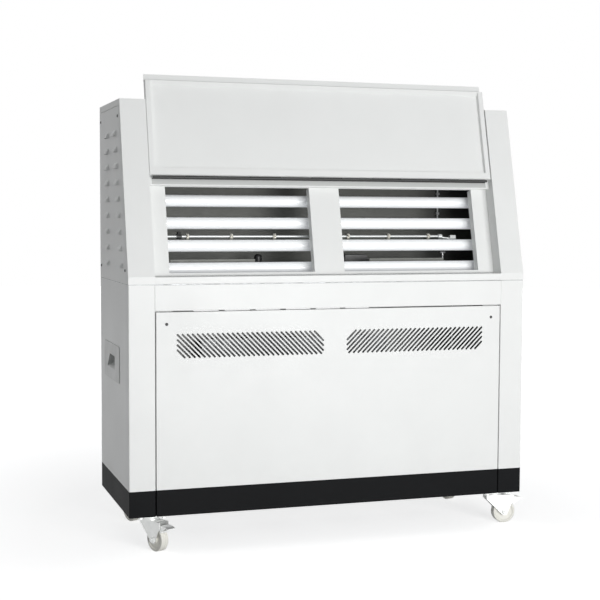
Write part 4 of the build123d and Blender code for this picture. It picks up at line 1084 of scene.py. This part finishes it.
# %% Turn a profile
def turned(name, profile, steps=40, toward="Z"):
    """Closed mesh of a profile of (along, radius) turned about an axis through the origin."""
    form = bmesh.new()
    rings = []
    for along, radius in profile:
        turns = [2 * pi * step / steps for step in range(steps)]
        rings.append([form.verts.new((radius * cos(t), radius * sin(t), along)) for t in turns])
    for low, high in zip(rings, rings[1:]):
        for step in range(steps):
            after = (step + 1) % steps
            form.faces.new((low[step], low[after], high[after], high[step]))
    form.faces.new(list(reversed(rings[0])))
    form.faces.new(rings[-1])
    if toward == "X":
        bmesh.ops.transform(form, matrix=Matrix.Rotation(pi / 2, 4, "Y"), verts=form.verts)
    return shaded(linked(name, mesh_from(form, name)), 32)


print("turning helper ready")

# %% [markdown]
# ### Lamps
# One lamp is a straight tube whose glass narrows under the end caps. The rack sets four of them up the
# slope. The caps are rolled aluminium with a groove, and two pins stand out of each.

# %% One lamp and its caps
LAMP_RADIUS = 0.0185
LAMP_FIRST = 0.050
LAMP_PITCH = 0.072
LAMP_COUNT = 4
LAMP_DEPTH = 0.120
CAP_LENGTH = 0.012
CAP_PIN = 0.007
PIN_SPREAD = 0.0065
CAP_RADIUS = LAMP_RADIUS - 0.0004


def lamp_glass_profile():
    """Half of the tube's profile is mirrored to give the whole."""
    half = [(LAMP_END, LAMP_RADIUS - 0.0030), (LAMP_END - 0.0006, LAMP_RADIUS - 0.0012),
            (LAMP_END - 0.0030, LAMP_RADIUS - 0.0003), (LAMP_END - 0.0070, LAMP_RADIUS)]
    return [(-along, radius) for along, radius in half] + list(reversed(half))


def cap_profile(side):
    """Rolled cap outside one end of the tube."""
    steps = [(0.0000, -0.0006), (0.0008, 0.0), (0.0040, 0.0), (0.0046, -0.0006), (0.0054, -0.0006),
             (0.0060, 0.0), (CAP_LENGTH - 0.0018, 0.0), (CAP_LENGTH - 0.0005, -0.0008), (CAP_LENGTH, -0.0022)]
    profile = [(side * (LAMP_END + along), CAP_RADIUS + change) for along, change in steps]
    return profile if side > 0 else list(reversed(profile))


def cap_pins(side):
    """Two pins of one cap, as small turned rods."""
    rods = []
    for spread in (-PIN_SPREAD, PIN_SPREAD):
        end_of_cap = LAMP_END + CAP_LENGTH
        start, end = sorted((side * (end_of_cap - 0.001), side * (end_of_cap + CAP_PIN)))
        profile = [(start, 0.0010), (start + 0.0004, 0.0013), (end - 0.0004, 0.0013), (end, 0.0010)]
        rod = turned("pin", profile, 12, "X")
        rods.append(moved(rod, Matrix.Translation((0, spread, 0))))
    return rods


tube_piece = turned("tube", lamp_glass_profile(), 48, "X")
caps_piece = turned("caps", cap_profile(-1), 48, "X")
caps_piece = joined(caps_piece, turned("cap", cap_profile(1), 48, "X"), *cap_pins(-1), *cap_pins(1))
shaded(caps_piece, 32)
print("one lamp:", len(tube_piece.data.polygons) + len(caps_piece.data.polygons), "faces")

# %% Set the lamps in their rack
def lamp_rack(rule):
    """A unit on each rung up the slope."""
    first = rule.vector(y=rule["First"], z=rule["Depth"] * -1.0)
    rungs = rule.add("GeometryNodeMeshLine", {}, {
        "Count": rule["Lamps"], "Start Location": first, "Offset": rule.vector(y=rule["Pitch"])})
    return rule.copies(rungs, rule.shape("Unit"))


rack_rule = Rule("Lamp rack", {
    "Lamps": LAMP_COUNT, "First": LAMP_FIRST, "Pitch": LAMP_PITCH, "Depth": LAMP_DEPTH, "Unit": tube_piece,
}, lamp_rack)
lamps = moved(rack_rule.make("lamps_finished", lamp_white), slope_turn)
stand_in(lamps, lamp_white, "lamp_glass", "lamp_tubes")
rack_rule.values["Unit"] = caps_piece
lamp_caps = moved(rack_rule.make("lamp_caps_finished", cap_metal), slope_turn)
stand_in(lamp_caps, cap_metal, "cap_metal", "lamp_caps")
bpy.data.objects.remove(tube_piece)
bpy.data.objects.remove(caps_piece)
print("lamps:", len(lamps.data.polygons), "and caps:", len(lamp_caps.data.polygons), "faces")

# %% [markdown]
# ### Nozzles on the spray pipe
# Each nozzle is a sleeve clamped on the pipe, with two collars and a small tip that points at the windows.
# The places along the pipe come from the photograph. A start mesh of single points carries them into the
# tree.

# %% Make the nozzles
PIPE_UP = 0.1515
NOZZLE_AT = (-0.436, -0.295, -0.154, -0.030, 0.095, 0.236, 0.377)


def nozzle():
    """Sleeve along X with collars, and a tip toward +Z."""
    sleeve = [(-0.0045, 0.0052), (-0.0045, 0.0086), (-0.0036, 0.0095), (0.0036, 0.0095), (0.0045, 0.0086),
              (0.0045, 0.0052)]
    tip = [(0.0050, 0.0042), (0.0100, 0.0042), (0.0106, 0.0034), (0.0140, 0.0034), (0.0150, 0.0022),
           (0.0150, 0.0010)]
    return joined(turned("nozzle", sleeve, 24, "X"), turned("tip", tip, 16))


def nozzles_on_pipe(rule):
    """A nozzle on each start point, moved to the pipe."""
    shift = rule.vector(y=rule["Up"], z=rule["Depth"] * -1.0)
    return rule.copies(rule.placed(rule["Start"], by=shift), rule.shape("Nozzle"))


nozzle_piece = shaded(nozzle(), 32)
nozzle_values = {"Depth": LAMP_DEPTH, "Up": PIPE_UP, "Nozzle": nozzle_piece}
nozzle_rule = Rule("Nozzles on a pipe", nozzle_values, nozzles_on_pipe)
points_mesh = bpy.data.meshes.new("nozzle_points")
points_mesh.from_pydata([(x, 0, 0) for x in NOZZLE_AT], [], [])
nozzles = moved(nozzle_rule.make("nozzles_finished", nozzle_brass, points_mesh), slope_turn)
stand_in(nozzles, nozzle_brass, "nozzle_brass", "spray_nozzles")
bpy.data.objects.remove(nozzle_piece)
print("nozzles:", len(nozzles.data.polygons), "faces")

# %% [markdown]
# ### Screws
# Ten pan-head screws hold the service panel and the covers. A cross recess needs a cut, so one head is
# turned and two bars are taken out of it by a Boolean modifier. Each point of the start mesh carries the
# way its screw faces.

# %% One screw
SCREW_HEAD = 0.0046
SCREW_RISE = 0.0024


def screw():
    """Pan head with a cross recess and a short shank, facing +Z."""
    head = [(-0.008, 0.0018), (-0.007, 0.0024), (-0.0002, 0.0024), (0.0, SCREW_HEAD - 0.0002),
            (0.0006, SCREW_HEAD), (0.0012, SCREW_HEAD - 0.0003), (0.0019, SCREW_HEAD - 0.0012),
            (SCREW_RISE, SCREW_HEAD - 0.0026)]
    piece = turned("screw", head, 32)
    reach, half, floor, top = 0.0023, 0.00045, 0.0010, 0.004
    cross = boxes("cross", [((-x, -y, floor), (x, y, top)) for x, y in ((reach, half), (half, reach))])
    cut = piece.modifiers.new("Recess", "BOOLEAN")
    cut.operation = "DIFFERENCE"
    cut.solver = "EXACT"
    cut.use_self = True
    cut.object = cross
    baked(piece)
    bpy.data.objects.remove(cross)
    return shaded(piece, 40)


screw_piece = screw()
print("one screw:", len(screw_piece.data.polygons), "faces")

# %% Set the screws
HIGH_SCREW = TOP - 0.051
LOW_SCREW = JOINT + 0.040
FRONT_SCREW = 0.050
REAR_SCREW = 0.477
SLOPE_SCREW = (HIGH_SCREW - KINK) * LEAN + 0.043 / cos(SLOPE)
COVER_SCREWS = ((SLOPE_SCREW, HIGH_SCREW), (REAR_SCREW, HIGH_SCREW),
                (FRONT_SCREW, LOW_SCREW), (REAR_SCREW, LOW_SCREW))
screw_spots = [((side * PANEL_SCREW_OUT, FRONT, PANEL_SCREW_UP), (0, -1, 0)) for side in (-1, 1)]
screw_spots += [((side * HALF, FRONT + y, z), (side, 0, 0)) for side in (-1, 1) for y, z in COVER_SCREWS]
screw_mesh = bpy.data.meshes.new("screw_points")
screw_mesh.from_pydata([place for place, way in screw_spots], [], [])
ways = screw_mesh.attributes.new("facing", "FLOAT_VECTOR", "POINT")
for number, (place, way) in enumerate(screw_spots):
    ways.data[number].vector = way


def screws_on_points(rule):
    """A screw on each start point, turned the way the point faces."""
    facing = rule.add("GeometryNodeInputNamedAttribute", {"data_type": "FLOAT_VECTOR"}, {"Name": "facing"})
    turn = rule.add("FunctionNodeAlignRotationToVector", {"axis": "Z"}, {"Vector": facing})
    return rule.copies(rule["Start"], rule.shape("Screw"), turn)


screw_rule = Rule("Screws on points", {"Screw": screw_piece}, screws_on_points)
screws = screw_rule.make("screws_finished", screw_black, screw_mesh)
stand_in(screws, screw_black, "zinc_plate", "screws")
bpy.data.objects.remove(screw_piece)
print("screws:", len(screw_spots), "with", len(screws.data.polygons), "faces")

# %% [markdown]
# ## Nodes that stay
# The rest of the CAD nodes have the right shape already and show little: the frame and floor, the inner
# walls, the hinge's leaves and the rails. They keep their mesh and take a finish.

# %% Finish what stays
kept = [node for node, piece in nodes.items() if not piece.hide_render]
for node in kept:
    nodes[node].data.materials.clear()
    nodes[node].data.materials.append(finish_of(node))
print(len(kept), "nodes kept:", ", ".join(sorted(kept)))

# %% [markdown]
# ## Studio
# The photograph is a product picture on pure white. One large soft lamp stands to the right of the camera,
# at about its height, so the left side falls into shade. The world gives even light, and shows white where
# the camera, a reflection or a see-through surface looks at it. The floor is pale and keeps the object's
# soft shadow. Its own glow grows with the distance, so the shadow fades into white.

# %% Floor
GLOW_NEAR = 0.9
GLOW_FAR = 3.0
GLOW_LEAST = 0.65


def looked_at(net):
    """1 for the camera, a reflection or a see-through surface, and 0 for light that bounces."""
    kinds = ("Camera", "Glossy", "Transmission")
    rays = [net.add("ShaderNodeLightPath", output=f"Is {kind} Ray") for kind in kinds]
    return (rays[0] + rays[1] + rays[2]).least(1.0)


def floor_finish():
    """Pale floor that looks white to the camera outside the shadow."""
    material = bpy.data.materials.new("Studio floor")
    material.use_nodes = True
    net = Net(material.node_tree)
    material.node_tree.nodes.clear()
    grey = net.add("ShaderNodeBsdfDiffuse", {}, {"Color": (0.62, 0.62, 0.62, 1)})
    pale = net.add("ShaderNodeBsdfDiffuse", {}, {"Color": (0.95, 0.95, 0.95, 1)})
    place = net.add("ShaderNodeTexCoord", output="Object")
    away = net.add("ShaderNodeVectorMath", {"operation": "LENGTH"}, [place], "Value")
    rise = net.add("ShaderNodeMapRange", {"clamp": True},
                   {"Value": away, "From Min": GLOW_NEAR, "From Max": GLOW_FAR})
    share = rise * (1 - GLOW_LEAST) + GLOW_LEAST
    tint = net.add("ShaderNodeCombineColor", {}, {"Red": share, "Green": share, "Blue": share})
    glow = net.add("ShaderNodeEmission", {}, {"Color": tint, "Strength": 1.0})
    lit = net.add("ShaderNodeAddShader", {}, [pale, glow])
    mix = net.add("ShaderNodeMixShader", {}, [looked_at(net), grey, lit])
    end = material.node_tree.nodes.new("ShaderNodeOutputMaterial")
    net.join(end.inputs["Surface"], mix)
    return material


FLOOR_RADIUS = 14.0
floor_form = bmesh.new()
bmesh.ops.create_circle(floor_form, cap_ends=True, segments=96, radius=FLOOR_RADIUS)
floor = linked("floor", mesh_from(floor_form, "floor"))
floor.data.materials.append(floor_finish())
floor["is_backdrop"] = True
print("floor radius", FLOOR_RADIUS, "m")


# %% World and lamps
def studio_world(ambient):
    """Even light of the given strength that looks white."""
    world = bpy.data.worlds.new("Studio")
    world.use_nodes = True
    bpy.context.scene.world = world
    net = Net(world.node_tree)
    world.node_tree.nodes.clear()
    even = net.add("ShaderNodeBackground", {}, {"Color": (0.97, 0.985, 1.0, 1), "Strength": ambient})
    white = net.add("ShaderNodeBackground", {}, {"Color": (1, 1, 1, 1), "Strength": 1.0})
    mix = net.add("ShaderNodeMixShader", {}, [looked_at(net), even, white])
    end = world.node_tree.nodes.new("ShaderNodeOutputWorld")
    net.join(end.inputs["Surface"], mix)


def soft_lamp(name, place, aim, size, power):
    """Rectangular lamp that faces a point."""
    data = bpy.data.lights.new(name, "AREA")
    data.shape = "RECTANGLE"
    data.size, data.size_y = size
    data.energy = power
    lamp = bpy.data.objects.new(name, data)
    bpy.context.scene.collection.objects.link(lamp)
    lamp.location = place
    lamp.rotation_euler = (Vector(aim) - Vector(place)).to_track_quat("-Z", "Y").to_euler()


bpy.context.scene.view_settings.view_transform = "Standard"
AMBIENT = 0.245
KEY_AT = (0.9, -5.2, 0.9)
KEY_AIM = (0, 0, 0.7)
KEY_SIZE = (3.0, 1.7)
KEY_POWER = 188.0
studio_world(AMBIENT)
soft_lamp("Key", KEY_AT, KEY_AIM, KEY_SIZE, KEY_POWER)
print("ambient", AMBIENT, "key", KEY_POWER, "W")

# %% [markdown]
# ## Sizes and end
# The dressed model must fill the same box as the CAD model. Both boxes are printed for comparison.

# %% Sizes and end
dressed_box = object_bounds()
for label, box in (("CAD", cad_box), ("dressed", dressed_box)):
    print(label, [round(v, 4) for v in box[1] - box[0]])
